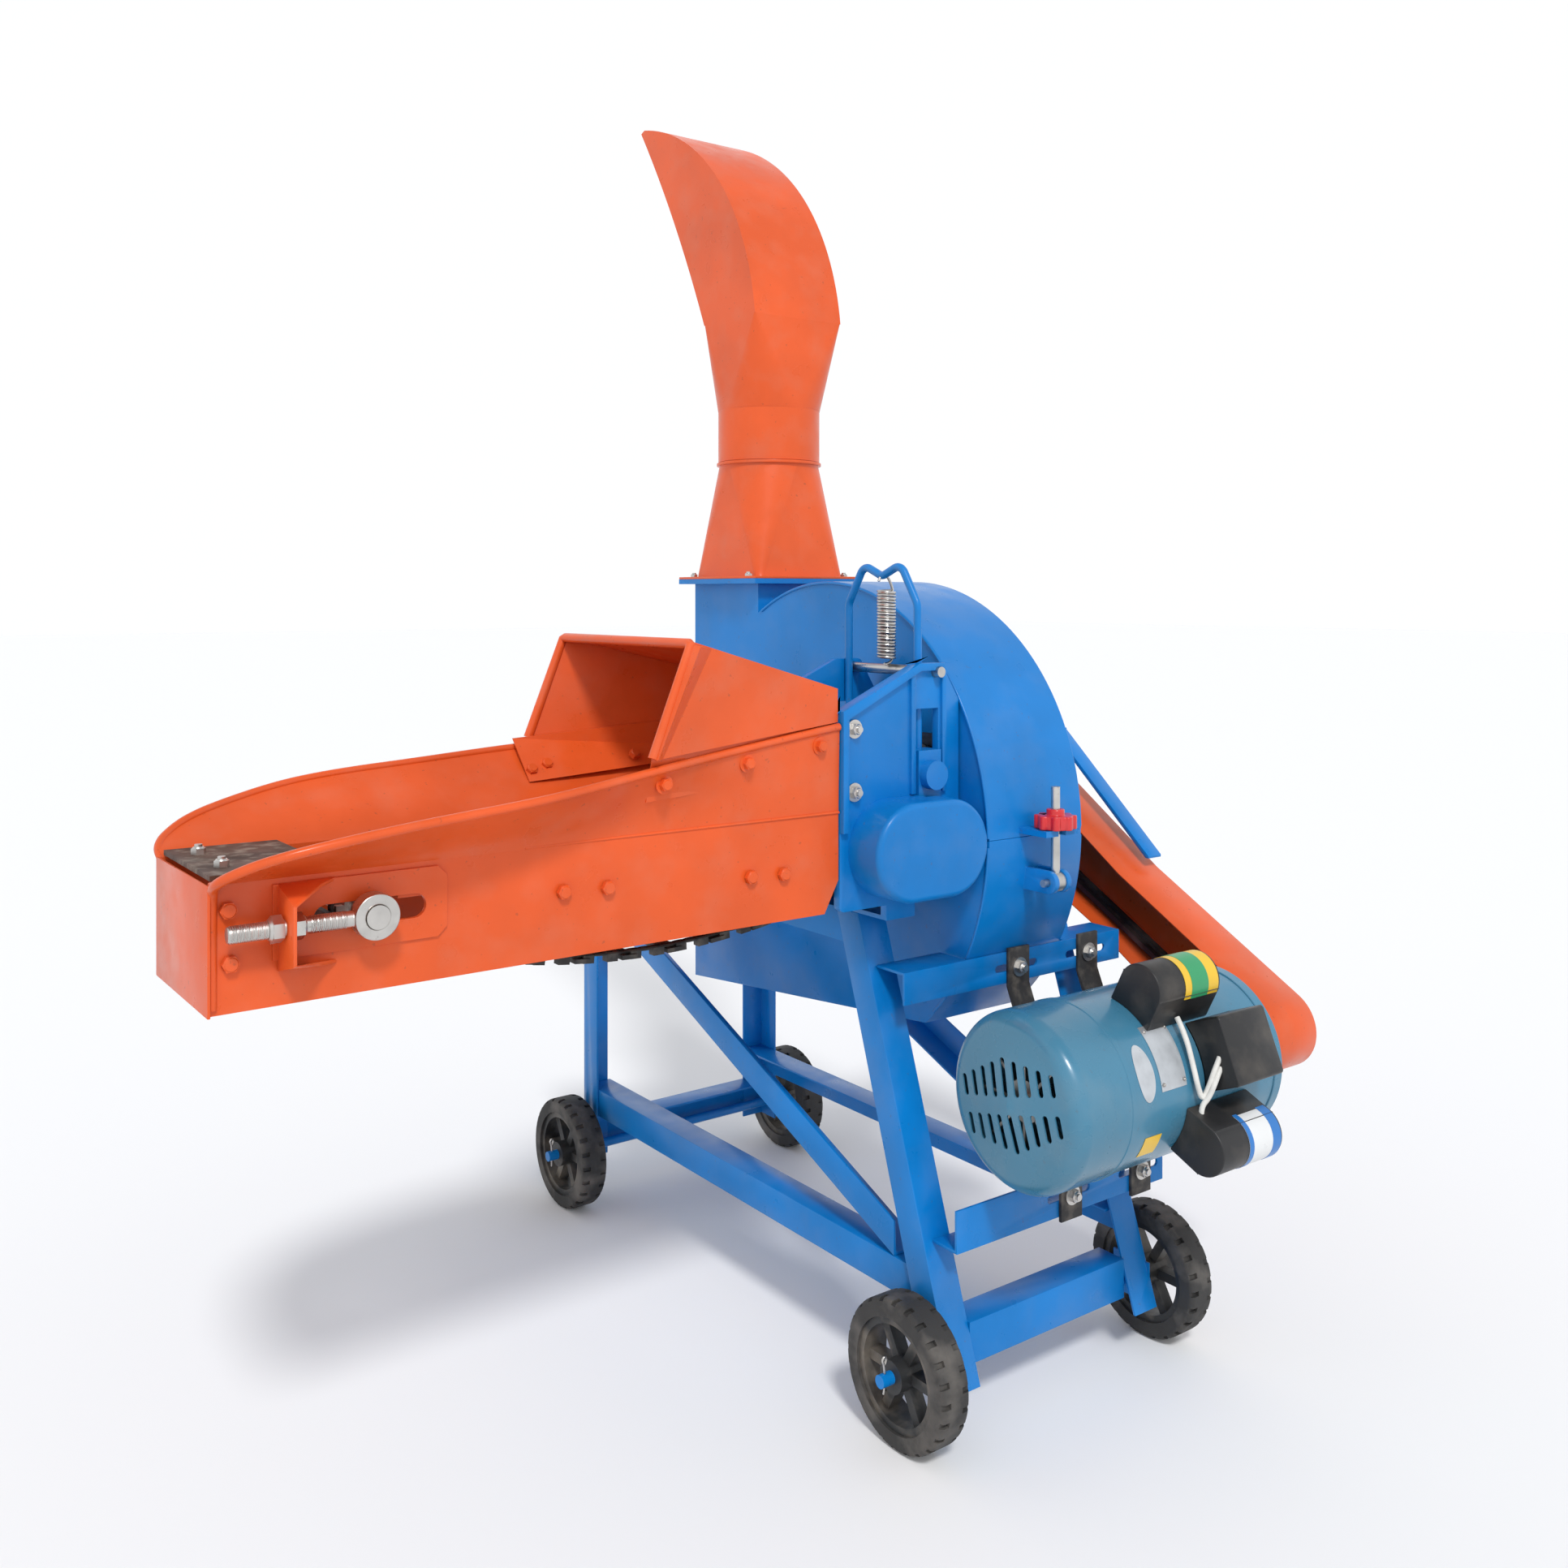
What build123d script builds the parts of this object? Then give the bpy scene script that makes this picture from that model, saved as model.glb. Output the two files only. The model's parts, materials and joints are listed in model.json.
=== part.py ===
# Chaff cutter on a wheeled angle-iron frame: feed table with slat chain, two feed rollers,
# knife-disc blower drum with a hinged cover, swivelling spout and belt drive from a motor.
# Millimetres. +X is the feed direction, -Y the motor side, +Z up, floor at Z = 0.
# The origin lies on the floor under the middle of the whole machine's box.
from build123d import *
from math import atan2, cos, degrees, hypot, radians, sin, sqrt
import os

os.makedirs("parts", exist_ok=True)

# ---- place of the wheelbase centre from the origin --------------------------------------
BASE_X = 320.0
BASE_Y = 87.0

# ---- running gaps -----------------------------------------------------------------------
FIT = 0.05            # radial gap of a shaft in its bore
GAP = 0.5             # gap between parts that pass each other
SHEET = 3.0           # casing and table sheet
THIN = 2.0            # spout and guard sheet

# ---- frame ------------------------------------------------------------------------------
ANGLE = 45.0          # width of the angle iron
IRON = 4.0            # its thickness
LEG_X = 190.0         # outer face of the legs from the middle
LEG_FOOT = 62.0       # lower end of the legs
FRAME_TOP = 620.0     # top of the legs and of the upper beams
LEAN = 0.33           # lean of the motor-side legs, in Y for each Z
LEG_FRONT_Y = -292.0  # front face of a leaning leg at the frame top
LEG_FAR_Y = 456.0     # outer face of the upright legs
RAIL_Z = 146.0        # underside of the side rails
CROSS_Z = 80.0        # underside of the cross bars
CROSS_H = 53.0
BRACE_Y = -360.0      # near end of the diagonal braces
BRACE_END_Y = 430.0
BRACE_SLOPE = 0.411

# ---- wheels -----------------------------------------------------------------------------
WHEEL_X = 229.0
WHEEL_Y = 433.0
WHEEL_R = 90.0
WHEEL_W = 45.0
TYRE_T = 22.0
HUB_R = 20.0
HUB_W = 50.0
AXLE_R = 8.0
AXLE_END = 272.0
SPOKES = 6
TREADS = 24

# ---- rotor and drum ---------------------------------------------------------------------
SHAFT_Y = -60.0
SHAFT_Z = 715.0
SHAFT_R = 17.5
SHAFT_END_X = 372.0
DRUM_R = 345.0
DRUM_X0 = -60.0
DRUM_X1 = 116.0
DRUM_FAR_Y = 302.0    # straight wall on the outlet side
FLOOR_FAR_Z = 392.0   # drum floor at the straight wall
FLOOR_NEAR_Y = -280.0  # where the floor meets the round wall
SPLIT_Z = 717.0       # joint between lower casing and hinged cover
NECK_Y0 = 117.0       # near wall of the outlet neck
NECK_TOP = 1066.0
FLANGE_W = 20.0
FLANGE_T = 8.0
ROTOR_R = 278.0
DISC_T = 10.0
DISC_X = -45.0        # front face of the knife disc
KNIFE_T = 6.0
KNIVES = 3
PADDLES = 4
HINGE_R = 9.0
HINGE_PIN_R = 4.0
HINGE_OUT = 10.0      # hinge axis beyond the straight wall

# ---- outlet cone and spout --------------------------------------------------------------
CONE_TOP = 1256.0
COLLAR_R = 83.0
COLLAR_H = 34.0
SPOUT_BASE = 1262.0
SPOUT_ROUND_TOP = 1348.0
HOOD_BASE = 1494.0
HOOD_TIP_Z = 1875.0
HOOD_TIP_Y = 470.0
HOOD_BACK_Y = 126.0
HOOD_DEPTH = 148.0

# ---- feed head --------------------------------------------------------------------------
PLATE_T = 12.0
THROAT_Y0 = -338.0    # inner face of the near side plate
THROAT_Y1 = -181.0    # inner face of the far side plate
HEAD_X0 = -267.0
HEAD_X1 = -63.0
HEAD_Z0 = 640.0
HEAD_Z1 = 950.0
ROLLER_X = -120.0
LOWER_R = 38.0
UPPER_R = 40.0
ROLLER_RISE = 89.0    # upper roller above the lower one
ROLLER_SHAFT_R = 12.5
UPPER_SHAFT_R = 10.0
FLOAT = 50.0          # travel of the upper roller
BLOCK_W = 40.0
BLOCK_H = 64.0
HEADSHAFT_X = -196.0
HEADSHAFT_R = 10.0
BAIL_R = 5.5
BAIL_TOP = 1087.0
SPRING_BAR_X = -105.0
SPRING_BAR_Z = 938.0
SPRING_BAR_R = 7.0
SPRING_R = 14.0
COVER_R = 63.0        # gear cover end radius
COVER_DEPTH = 60.0

# ---- gears ------------------------------------------------------------------------------
MODULE = 3.0
DRIVE_TEETH = 18      # roller gear and chain-shaft gear
IDLER_TEETH = 12
PAIR_MODULE = 4.0
PAIR_TEETH = 22       # gears that join the two rollers
BEVEL_TEETH = 32
PINION_TEETH = 12
BEVEL_FACE = 14.0
GEAR_W = 16.0

# ---- feed table -------------------------------------------------------------------------
TABLE_X0 = -1027.0
TABLE_Z0 = 642.0
CREASE_Z = 766.0
TAIL_X = -875.0
TAIL_Z = 722.0
TAIL_R = 12.0
CHAIN_R = 24.0        # inside radius of the chain over its sprockets
CHAIN_T = 7.0
CHAIN_W = 10.0
CHAIN_IN = 8.0        # chain strand from the table wall
SLAT_W = 20.0
SLAT_T = 5.0
SLAT_PITCH = 62.0
BED_Z = 730.0
BED_T = 5.0
TAKEUP = 40.0         # travel of the tail shaft

# ---- belt drive and motor ---------------------------------------------------------------
MAIN_PULLEY_R = 48.0
MOTOR_PULLEY_R = 32.0
BELT_X = (338.0, 356.0)
BELT_W = 10.0
BELT_T = 8.0
GUARD_X0 = 300.0
GUARD_X1 = 390.0
MOTOR_Y = -535.0
MOTOR_Z = 428.0
MOTOR_R = 108.0
MOTOR_X0 = -60.0
MOTOR_X1 = 232.0
FAN_COVER_L = 100.0
MOTOR_SHAFT_R = 12.0
STRAP_X = (25.0, 163.0)
STRAP_W = 40.0
STRAP_T = 5.0
UPPER_BAR_Y = -371.0
UPPER_BAR_Z = 513.0
UPPER_BAR_H = 42.0
LOWER_BAR_Y = -466.0
LOWER_BAR_Z = 229.0
LOWER_BAR_H = 53.0


# ---- planes, measured from the wheelbase centre -----------------------------------------
def facing_x(x, y=0.0, z=0.0):
    """Profile plane with its normal along +X: across is +Y, up is +Z."""
    return Plane((BASE_X + x, BASE_Y + y, z), x_dir=(0, 1, 0), z_dir=(1, 0, 0))


def facing_near(y, x=0.0, z=0.0):
    """Profile plane with its normal along -Y: across is +X, up is +Z."""
    return Plane((BASE_X + x, BASE_Y + y, z), x_dir=(1, 0, 0), z_dir=(0, -1, 0))


def level(z, x=0.0, y=0.0):
    """Profile plane with its normal along +Z: across is +X, up is +Y."""
    return Plane((BASE_X + x, BASE_Y + y, z), x_dir=(1, 0, 0), z_dir=(0, 0, 1))


def save(piece, name):
    piece.part.label = name
    export_step(piece.part, f"parts/{name}.step")


def angle_points(x0, y0, across, up):
    """L section with its outer corner at x0, y0; the signs of across and up set its legs."""
    sx = 1 if across > 0 else -1
    sy = 1 if up > 0 else -1
    return (
        (x0, y0),
        (x0 + across, y0),
        (x0 + across, y0 + sy * IRON),
        (x0 + sx * IRON, y0 + sy * IRON),
        (x0 + sx * IRON, y0 + up),
        (x0, y0 + up),
    )


SIDES = (("left", -1), ("right", 1))
ENDS = (("near", -1), ("far", 1))

# ==== frame ==============================================================================
INNER = LEG_X - IRON          # outer face of the rails, inside the legs
BEAM_IN = INNER - ANGLE       # inner edge of the rails

with BuildPart() as legs:
    rise = FRAME_TOP - LEG_FOOT
    foot_y = LEG_FRONT_Y - LEAN * rise
    for sx in (-1, 1):
        with BuildSketch(level(LEG_FOOT)):
            with BuildLine():
                Polyline(*angle_points(sx * LEG_X, foot_y, -sx * ANGLE, ANGLE), close=True)
            make_face()
        extrude(amount=rise * sqrt(1 + LEAN**2), dir=(0, LEAN, 1))
        with BuildSketch(level(LEG_FOOT)):
            with BuildLine():
                Polyline(*angle_points(sx * LEG_X, LEG_FAR_Y, -sx * ANGLE, -ANGLE), close=True)
            make_face()
        extrude(amount=rise)
        axle_lug = facing_x(sx * (LEG_X - IRON / 2), -WHEEL_Y, WHEEL_R)
        with BuildSketch(axle_lug):
            Rectangle(62, 2 * (WHEEL_R - LEG_FOOT))
        extrude(amount=IRON / 2, both=True)
        for sy in (-1, 1):
            with BuildSketch(facing_x(sx * (LEG_X - IRON / 2), sy * WHEEL_Y, WHEEL_R)):
                Circle(AXLE_R + FIT)
            extrude(amount=IRON, both=True, mode=Mode.SUBTRACT)
save(legs, "legs")

with BuildPart() as base_rails:
    rail_y0 = LEG_FRONT_Y - LEAN * (FRAME_TOP - RAIL_Z - ANGLE) + 2 * IRON
    beam_y0 = LEG_FRONT_Y + 2 * IRON
    rail_y1 = LEG_FAR_Y - IRON
    for sx in (-1, 1):
        for top, y0 in ((RAIL_Z + ANGLE, rail_y0), (FRAME_TOP, beam_y0)):
            with BuildSketch(facing_near(rail_y1, 0, top)):
                with BuildLine():
                    Polyline(*angle_points(sx * INNER, 0, -sx * ANGLE, -ANGLE), close=True)
                make_face()
            extrude(amount=rail_y1 - y0)
    cross_len = 2 * (LEG_X - ANGLE)
    near_face = LEG_FRONT_Y - LEAN * (FRAME_TOP - CROSS_Z - CROSS_H)
    for sy, face in ((-1, near_face - IRON), (1, LEG_FAR_Y)):
        with BuildSketch(facing_x(-cross_len / 2, face, CROSS_Z + CROSS_H)):
            with BuildLine():
                Polyline(
                    (0, 0),
                    (0, -CROSS_H),
                    (-sy * IRON, -CROSS_H),
                    (-sy * IRON, -IRON),
                    (-sy * ANGLE, -IRON),
                    (-sy * ANGLE, 0),
                    close=True,
                )
            make_face()
        extrude(amount=cross_len)
save(base_rails, "base_rails")

with BuildPart() as braces:
    run = BRACE_END_Y - BRACE_Y
    for sx in (-1, 1):
        with BuildSketch(facing_near(BRACE_Y, 0, RAIL_Z + ANGLE + GAP)):
            with BuildLine():
                Polyline(*angle_points(sx * INNER, 0, -sx * ANGLE, ANGLE), close=True)
            make_face()
        extrude(amount=run * sqrt(1 + BRACE_SLOPE**2), dir=(0, 1, BRACE_SLOPE))
save(braces, "braces")

BAR_GAP = 1.5                 # weld gap between the motor bars and the legs
UPPER_BAR = (-178.0, 413.0)   # start and length of each bar
LOWER_BAR = (-176.0, 390.0)
SLOT_L = 80.0
SLOT_W = 10.0
with BuildPart() as motor_bars:
    upper_top = UPPER_BAR_Z + UPPER_BAR_H
    upper_back = LEG_FRONT_Y - LEAN * (FRAME_TOP - upper_top + IRON) - BAR_GAP
    with BuildSketch(facing_x(UPPER_BAR[0], UPPER_BAR_Y, upper_top)):
        depth = upper_back - UPPER_BAR_Y
        with BuildLine():
            Polyline((0, 0), (0, -UPPER_BAR_H), (IRON, -UPPER_BAR_H), (IRON, -IRON),
                     (depth, -IRON), (depth, 0), close=True)
        make_face()
    extrude(amount=UPPER_BAR[1])
    lower_back = LEG_FRONT_Y - LEAN * (FRAME_TOP - LOWER_BAR_Z) - BAR_GAP
    with BuildSketch(facing_x(LOWER_BAR[0], LOWER_BAR_Y, LOWER_BAR_Z)):
        depth = lower_back - LOWER_BAR_Y
        with BuildLine():
            Polyline((0, 0), (0, LOWER_BAR_H), (IRON, LOWER_BAR_H), (IRON, IRON),
                     (depth, IRON), (depth, 0), close=True)
        make_face()
    extrude(amount=LOWER_BAR[1])
    # the upper bar's flange is cut away where the drum passes behind it
    with BuildSketch(level(upper_top - IRON, (DRUM_X0 + DRUM_X1) / 2, UPPER_BAR_Y + IRON)):
        with Locations((0, depth)):
            Rectangle(DRUM_X1 - DRUM_X0 + 10, 2 * depth)
    extrude(amount=IRON, mode=Mode.SUBTRACT)
    for bar_y, bar_z, bar_h in ((UPPER_BAR_Y, UPPER_BAR_Z, UPPER_BAR_H),
                                (LOWER_BAR_Y, LOWER_BAR_Z, LOWER_BAR_H)):
        with BuildSketch(facing_near(bar_y + IRON, 0, bar_z + bar_h / 2)):
            with Locations(*[(x, 0) for x in STRAP_X]):
                SlotOverall(SLOT_L, SLOT_W)
        extrude(amount=IRON, mode=Mode.SUBTRACT)
save(motor_bars, "motor_bars")

BRACKET_Y = (-190.0, 150.0)
with BuildPart() as drum_supports:
    with BuildSketch(facing_x(-BEAM_IN, DRUM_FAR_Y, FRAME_TOP)):
        with BuildLine():
            Polyline(*angle_points(0, 0, ANGLE, -ANGLE), close=True)
        make_face()
    extrude(amount=2 * BEAM_IN)
    for x0, x1 in ((-BEAM_IN, DRUM_X0), (DRUM_X1, BEAM_IN)):
        with BuildSketch(level(FRAME_TOP - IRON, (x0 + x1) / 2)):
            with Locations(*[(0, y) for y in BRACKET_Y]):
                Rectangle(x1 - x0, 50)
        extrude(amount=IRON)
save(drum_supports, "drum_supports")

# ==== wheels and axles ===================================================================
PIN_X = AXLE_END - 8.0        # split pins from the middle
PIN_R = 1.9
with BuildPart() as axles:
    for sy in (-1, 1):
        with BuildSketch(facing_x(-AXLE_END, sy * WHEEL_Y, WHEEL_R)):
            Circle(AXLE_R)
        extrude(amount=2 * AXLE_END)
        with BuildSketch(level(WHEEL_R, 0, sy * WHEEL_Y)):
            with Locations((-PIN_X, 0), (PIN_X, 0)):
                Circle(PIN_R + FIT)
        extrude(amount=2 * AXLE_R, both=True, mode=Mode.SUBTRACT)
save(axles, "axles")

RIM_R = WHEEL_R - TYRE_T
RIM_T = 9.0
for end, sy in ENDS:
    for side, sx in SIDES:
        middle = facing_x(sx * WHEEL_X, sy * WHEEL_Y, WHEEL_R)
        with BuildPart() as rim:
            with BuildSketch(middle):
                Circle(RIM_R)
                Circle(RIM_R - RIM_T, mode=Mode.SUBTRACT)
            extrude(amount=WHEEL_W / 2 - 4, both=True)
            with BuildSketch(middle):
                Circle(HUB_R)
            extrude(amount=HUB_W / 2, both=True)
            with BuildSketch(middle):
                with PolarLocations((HUB_R + RIM_R - RIM_T) / 2, SPOKES):
                    Rectangle(RIM_R - HUB_R, 13)
                Circle(RIM_R - RIM_T / 2, mode=Mode.INTERSECT)
            extrude(amount=9, both=True)
            with BuildSketch(middle):
                Circle(AXLE_R + FIT)
            extrude(amount=HUB_W, both=True, mode=Mode.SUBTRACT)
        save(rim, f"rim_{end}_{side}")

        with BuildPart() as tyre:
            with BuildSketch(middle):
                Circle(WHEEL_R)
                Circle(RIM_R, mode=Mode.SUBTRACT)
            extrude(amount=WHEEL_W / 2, both=True)
            outer_edges = tyre.edges().filter_by(GeomType.CIRCLE).sort_by(lambda e: e.radius)[-2:]
            fillet(outer_edges, 7)
            for shoulder in (-1, 1):
                with BuildSketch(middle.offset(shoulder * WHEEL_W / 2)):
                    with PolarLocations(WHEEL_R, TREADS, start_angle=3.75 * (1 + shoulder)):
                        Rectangle(9, 7)
                extrude(amount=-shoulder * 13, mode=Mode.SUBTRACT)
        save(tyre, f"tyre_{end}_{side}")

# ==== drum casing and cover ==============================================================
SHAFT_AT = (SHAFT_Y, SHAFT_Z)
HINGE_Y = DRUM_FAR_Y + HINGE_OUT
DRUM_MID_X = (DRUM_X0 + DRUM_X1) / 2
SHAFT_HOLE_R = SHAFT_R + 3.0
FLOOR_NEAR_Z = SHAFT_Z - sqrt(DRUM_R**2 - (FLOOR_NEAR_Y - SHAFT_Y) ** 2)
LUG_X = 25.0                  # clamp lugs, in X
LUG_W = 60.0
CLAMP_Y = -442.0
CLAMP_Z = 660.0
CLAMP_PIN_R = 5.0
EYE_R = 15.0
EYE_W = 14.0
EAR_T = 8.0


def ring_point(y, radius=DRUM_R):
    """Height of the round wall below the shaft at a given Y."""
    return SHAFT_Z - sqrt(radius**2 - (y - SHAFT_Y) ** 2)


def casing_outline(inset):
    """Corner points and arc middle of the lower casing, moved in by a sheet thickness."""
    radius = DRUM_R - inset
    start = (SHAFT_Y - radius, SHAFT_Z)
    low_y = FLOOR_NEAR_Y + inset
    low = (low_y, ring_point(low_y, radius))
    half = radians((180 + degrees(atan2(low[1] - SHAFT_Z, low_y - SHAFT_Y)) % 360) / 2)
    middle = (SHAFT_Y + radius * cos(half), SHAFT_Z + radius * sin(half))
    far = (DRUM_FAR_Y - inset, FLOOR_FAR_Z + inset)
    return start, middle, low, far


with BuildPart() as drum_casing:
    for inset, mode in ((0, Mode.ADD), (SHEET, Mode.SUBTRACT)):
        start, middle, low, far = casing_outline(inset)
        top = SPLIT_Z - GAP if not inset else SPLIT_Z + 10
        with BuildSketch(facing_x(DRUM_X0 + inset)):
            with BuildLine():
                ThreePointArc(start, middle, low)
                Polyline(low, far, (far[0], top), (start[0], top), start)
            make_face()
        extrude(amount=DRUM_X1 - DRUM_X0 - 2 * inset, mode=mode)
    with BuildSketch(facing_x(DRUM_X0 - 1, *SHAFT_AT)):
        Circle(SHAFT_HOLE_R)
    extrude(amount=DRUM_X1 - DRUM_X0 + 2, mode=Mode.SUBTRACT)
    # hinge knuckles behind the straight wall
    for x0, x1 in ((DRUM_X0, -20), (76, DRUM_X1)):
        with BuildSketch(facing_x(x0, HINGE_Y, SPLIT_Z)):
            Circle(HINGE_R)
            with Locations((-HINGE_OUT / 2, -HINGE_R / 2 - GAP)):
                Rectangle(HINGE_OUT, HINGE_R)
            Circle(HINGE_PIN_R + FIT, mode=Mode.SUBTRACT)
        extrude(amount=x1 - x0)
    # ears of the swing bolt on the motor side
    for x0 in (LUG_X - EYE_W / 2 - GAP - EAR_T, LUG_X + EYE_W / 2 + GAP):
        with BuildSketch(facing_x(x0, CLAMP_Y, CLAMP_Z)):
            Circle(EYE_R)
            with Locations((24, 0)):
                Rectangle(48, 2 * EYE_R)
            Circle(CLAMP_PIN_R, mode=Mode.SUBTRACT)
        extrude(amount=EAR_T)
    # inside of the round wall stays clear of the ears
    with BuildSketch(facing_x(DRUM_X0 + SHEET, *SHAFT_AT)):
        Circle(DRUM_R - SHEET)
        with Locations((DRUM_R / 2, 0)):
            Rectangle(DRUM_R, 2 * DRUM_R, mode=Mode.SUBTRACT)
        with Locations((-DRUM_R / 2, -DRUM_R + (FLOOR_NEAR_Z - SHAFT_Z + DRUM_R) / 2)):
            Rectangle(DRUM_R, FLOOR_NEAR_Z - SHAFT_Z + DRUM_R, mode=Mode.SUBTRACT)
    extrude(amount=DRUM_X1 - DRUM_X0 - 2 * SHEET, mode=Mode.SUBTRACT)
save(drum_casing, "drum_casing")

LUG_T = 8.0
LUG_Z = 722.0
SLOT_IN = -434.0              # closed end of the slot for the swing bolt
THROAT_Z0 = SHAFT_Z + LOWER_R - 2
THROAT_TOP = 850.0


def cover_outline(inset):
    radius = DRUM_R - inset
    neck_y = NECK_Y0 + inset
    rise = sqrt(radius**2 - (neck_y - SHAFT_Y) ** 2)
    return radius, neck_y, SHAFT_Z + rise


with BuildPart() as drum_cover:
    for inset, mode in ((0, Mode.ADD), (SHEET, Mode.SUBTRACT)):
        radius, neck_y, shoulder_z = cover_outline(inset)
        bottom = SPLIT_Z if not inset else SPLIT_Z - 10
        top = NECK_TOP if not inset else NECK_TOP + 20
        far_y = DRUM_FAR_Y - inset
        with BuildSketch(facing_x(DRUM_X0 + inset)):
            with BuildLine():
                ThreePointArc((SHAFT_Y - radius, SHAFT_Z), (SHAFT_Y - radius * cos(radians(45)),
                              SHAFT_Z + radius * sin(radians(45))), (SHAFT_Y, SHAFT_Z + radius))
                half = (90 + degrees(atan2(shoulder_z - SHAFT_Z, neck_y - SHAFT_Y))) / 2
                ThreePointArc((SHAFT_Y, SHAFT_Z + radius), (SHAFT_Y + radius * cos(radians(half)),
                              SHAFT_Z + radius * sin(radians(half))), (neck_y, shoulder_z))
                Polyline((neck_y, shoulder_z), (neck_y, top), (far_y, top), (far_y, SHAFT_Z),
                         (SHAFT_Y - radius, SHAFT_Z))
            make_face()
        extrude(amount=DRUM_X1 - DRUM_X0 - 2 * inset, mode=mode)
        if inset:
            with BuildSketch(level(SHAFT_Z - 20, DRUM_MID_X, -50)):
                Rectangle(DRUM_X1 - DRUM_X0 + 10, 900)
            extrude(amount=SPLIT_Z - SHAFT_Z + 20, mode=Mode.SUBTRACT)
    with BuildSketch(facing_x(DRUM_X0 - 1, *SHAFT_AT)):
        Circle(SHAFT_HOLE_R)
    extrude(amount=DRUM_X1 - DRUM_X0 + 2, mode=Mode.SUBTRACT)
    with BuildSketch(facing_x(DRUM_X0 - 1, (THROAT_Y0 + THROAT_Y1) / 2, (THROAT_Z0 + THROAT_TOP) / 2)):
        Rectangle(THROAT_Y1 - THROAT_Y0, THROAT_TOP - THROAT_Z0)
    extrude(amount=SHEET + 2, mode=Mode.SUBTRACT)
    # outlet flange
    flange_x = DRUM_X1 - DRUM_X0
    flange_y = DRUM_FAR_Y - NECK_Y0
    neck_mid = (NECK_Y0 + DRUM_FAR_Y) / 2
    with BuildSketch(level(NECK_TOP - FLANGE_T, DRUM_MID_X, neck_mid)):
        Rectangle(flange_x + 2 * FLANGE_W, flange_y + 2 * FLANGE_W)
        Rectangle(flange_x - 2 * SHEET, flange_y - 2 * SHEET, mode=Mode.SUBTRACT)
    extrude(amount=FLANGE_T)
    # middle knuckle of the hinge
    with BuildSketch(facing_x(-20 + GAP, HINGE_Y, SPLIT_Z)):
        Circle(HINGE_R)
        with Locations((-HINGE_OUT / 2, HINGE_R / 2 + GAP)):
            Rectangle(HINGE_OUT, HINGE_R)
        Circle(HINGE_PIN_R + FIT, mode=Mode.SUBTRACT)
    extrude(amount=96 - 2 * GAP)
    # clamp lug with an open slot
    with BuildSketch(level(LUG_Z, LUG_X, CLAMP_Y - 12)):
        with Locations((0, 30)):
            Rectangle(LUG_W, 60)
        with Locations((0, 0)):
            Rectangle(EYE_W, 2 * (SLOT_IN - CLAMP_Y + 12), mode=Mode.SUBTRACT)
    extrude(amount=LUG_T)
    with BuildSketch(facing_x(DRUM_X0 + SHEET, *SHAFT_AT)):
        with BuildLine():
            CenterArc((0, 0), DRUM_R - SHEET, 90, 90)
            Polyline((SHEET - DRUM_R, 0), (0, 0), (0, DRUM_R - SHEET))
        make_face()
    extrude(amount=DRUM_X1 - DRUM_X0 - 2 * SHEET, mode=Mode.SUBTRACT)
save(drum_cover, "drum_cover")

with BuildPart() as pivot_pins:
    with BuildSketch(facing_x(DRUM_X0 - 3, HINGE_Y, SPLIT_Z)):
        Circle(HINGE_PIN_R)
    extrude(amount=DRUM_X1 - DRUM_X0 + 6)
    with BuildSketch(facing_x(LUG_X - 24, CLAMP_Y, CLAMP_Z)):
        Circle(CLAMP_PIN_R)
    extrude(amount=48)
    with BuildSketch(facing_near(THROAT_Y1 + PLATE_T + 12, SPRING_BAR_X, SPRING_BAR_Z)):
        Circle(SPRING_BAR_R)
    extrude(amount=THROAT_Y1 - THROAT_Y0 + 2 * PLATE_T + 24)
save(pivot_pins, "pivot_pins")

BOLT_R = 6.0
BOLT_TOP = 786.0
with BuildPart() as swing_bolt:
    with BuildSketch(facing_x(LUG_X - EYE_W / 2, CLAMP_Y, CLAMP_Z)):
        Circle(EYE_R - 2)
    extrude(amount=EYE_W)
    with BuildSketch(level(CLAMP_Z, LUG_X, CLAMP_Y)):
        Circle(BOLT_R)
    extrude(amount=BOLT_TOP - CLAMP_Z)
    with BuildSketch(facing_x(LUG_X - EYE_W, CLAMP_Y, CLAMP_Z)):
        Circle(CLAMP_PIN_R + FIT)
    extrude(amount=2 * EYE_W, mode=Mode.SUBTRACT)
save(swing_bolt, "swing_bolt")

KNOB_Z = LUG_Z + LUG_T + GAP
KNOB_R = 28.0
KNOB_H = 18.0
LOBES = 8
with BuildPart() as star_knob:
    with BuildSketch(level(KNOB_Z, LUG_X, CLAMP_Y)):
        Circle(KNOB_R - 4)
        with PolarLocations(KNOB_R - 6, LOBES):
            Circle(6)
    extrude(amount=KNOB_H)
    with BuildSketch(level(KNOB_Z + KNOB_H, LUG_X, CLAMP_Y)):
        Circle(12)
    extrude(amount=8)
    with BuildSketch(level(KNOB_Z - 1, LUG_X, CLAMP_Y)):
        Circle(BOLT_R + FIT)
    extrude(amount=KNOB_H + 12, mode=Mode.SUBTRACT)
save(star_knob, "star_knob")

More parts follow.
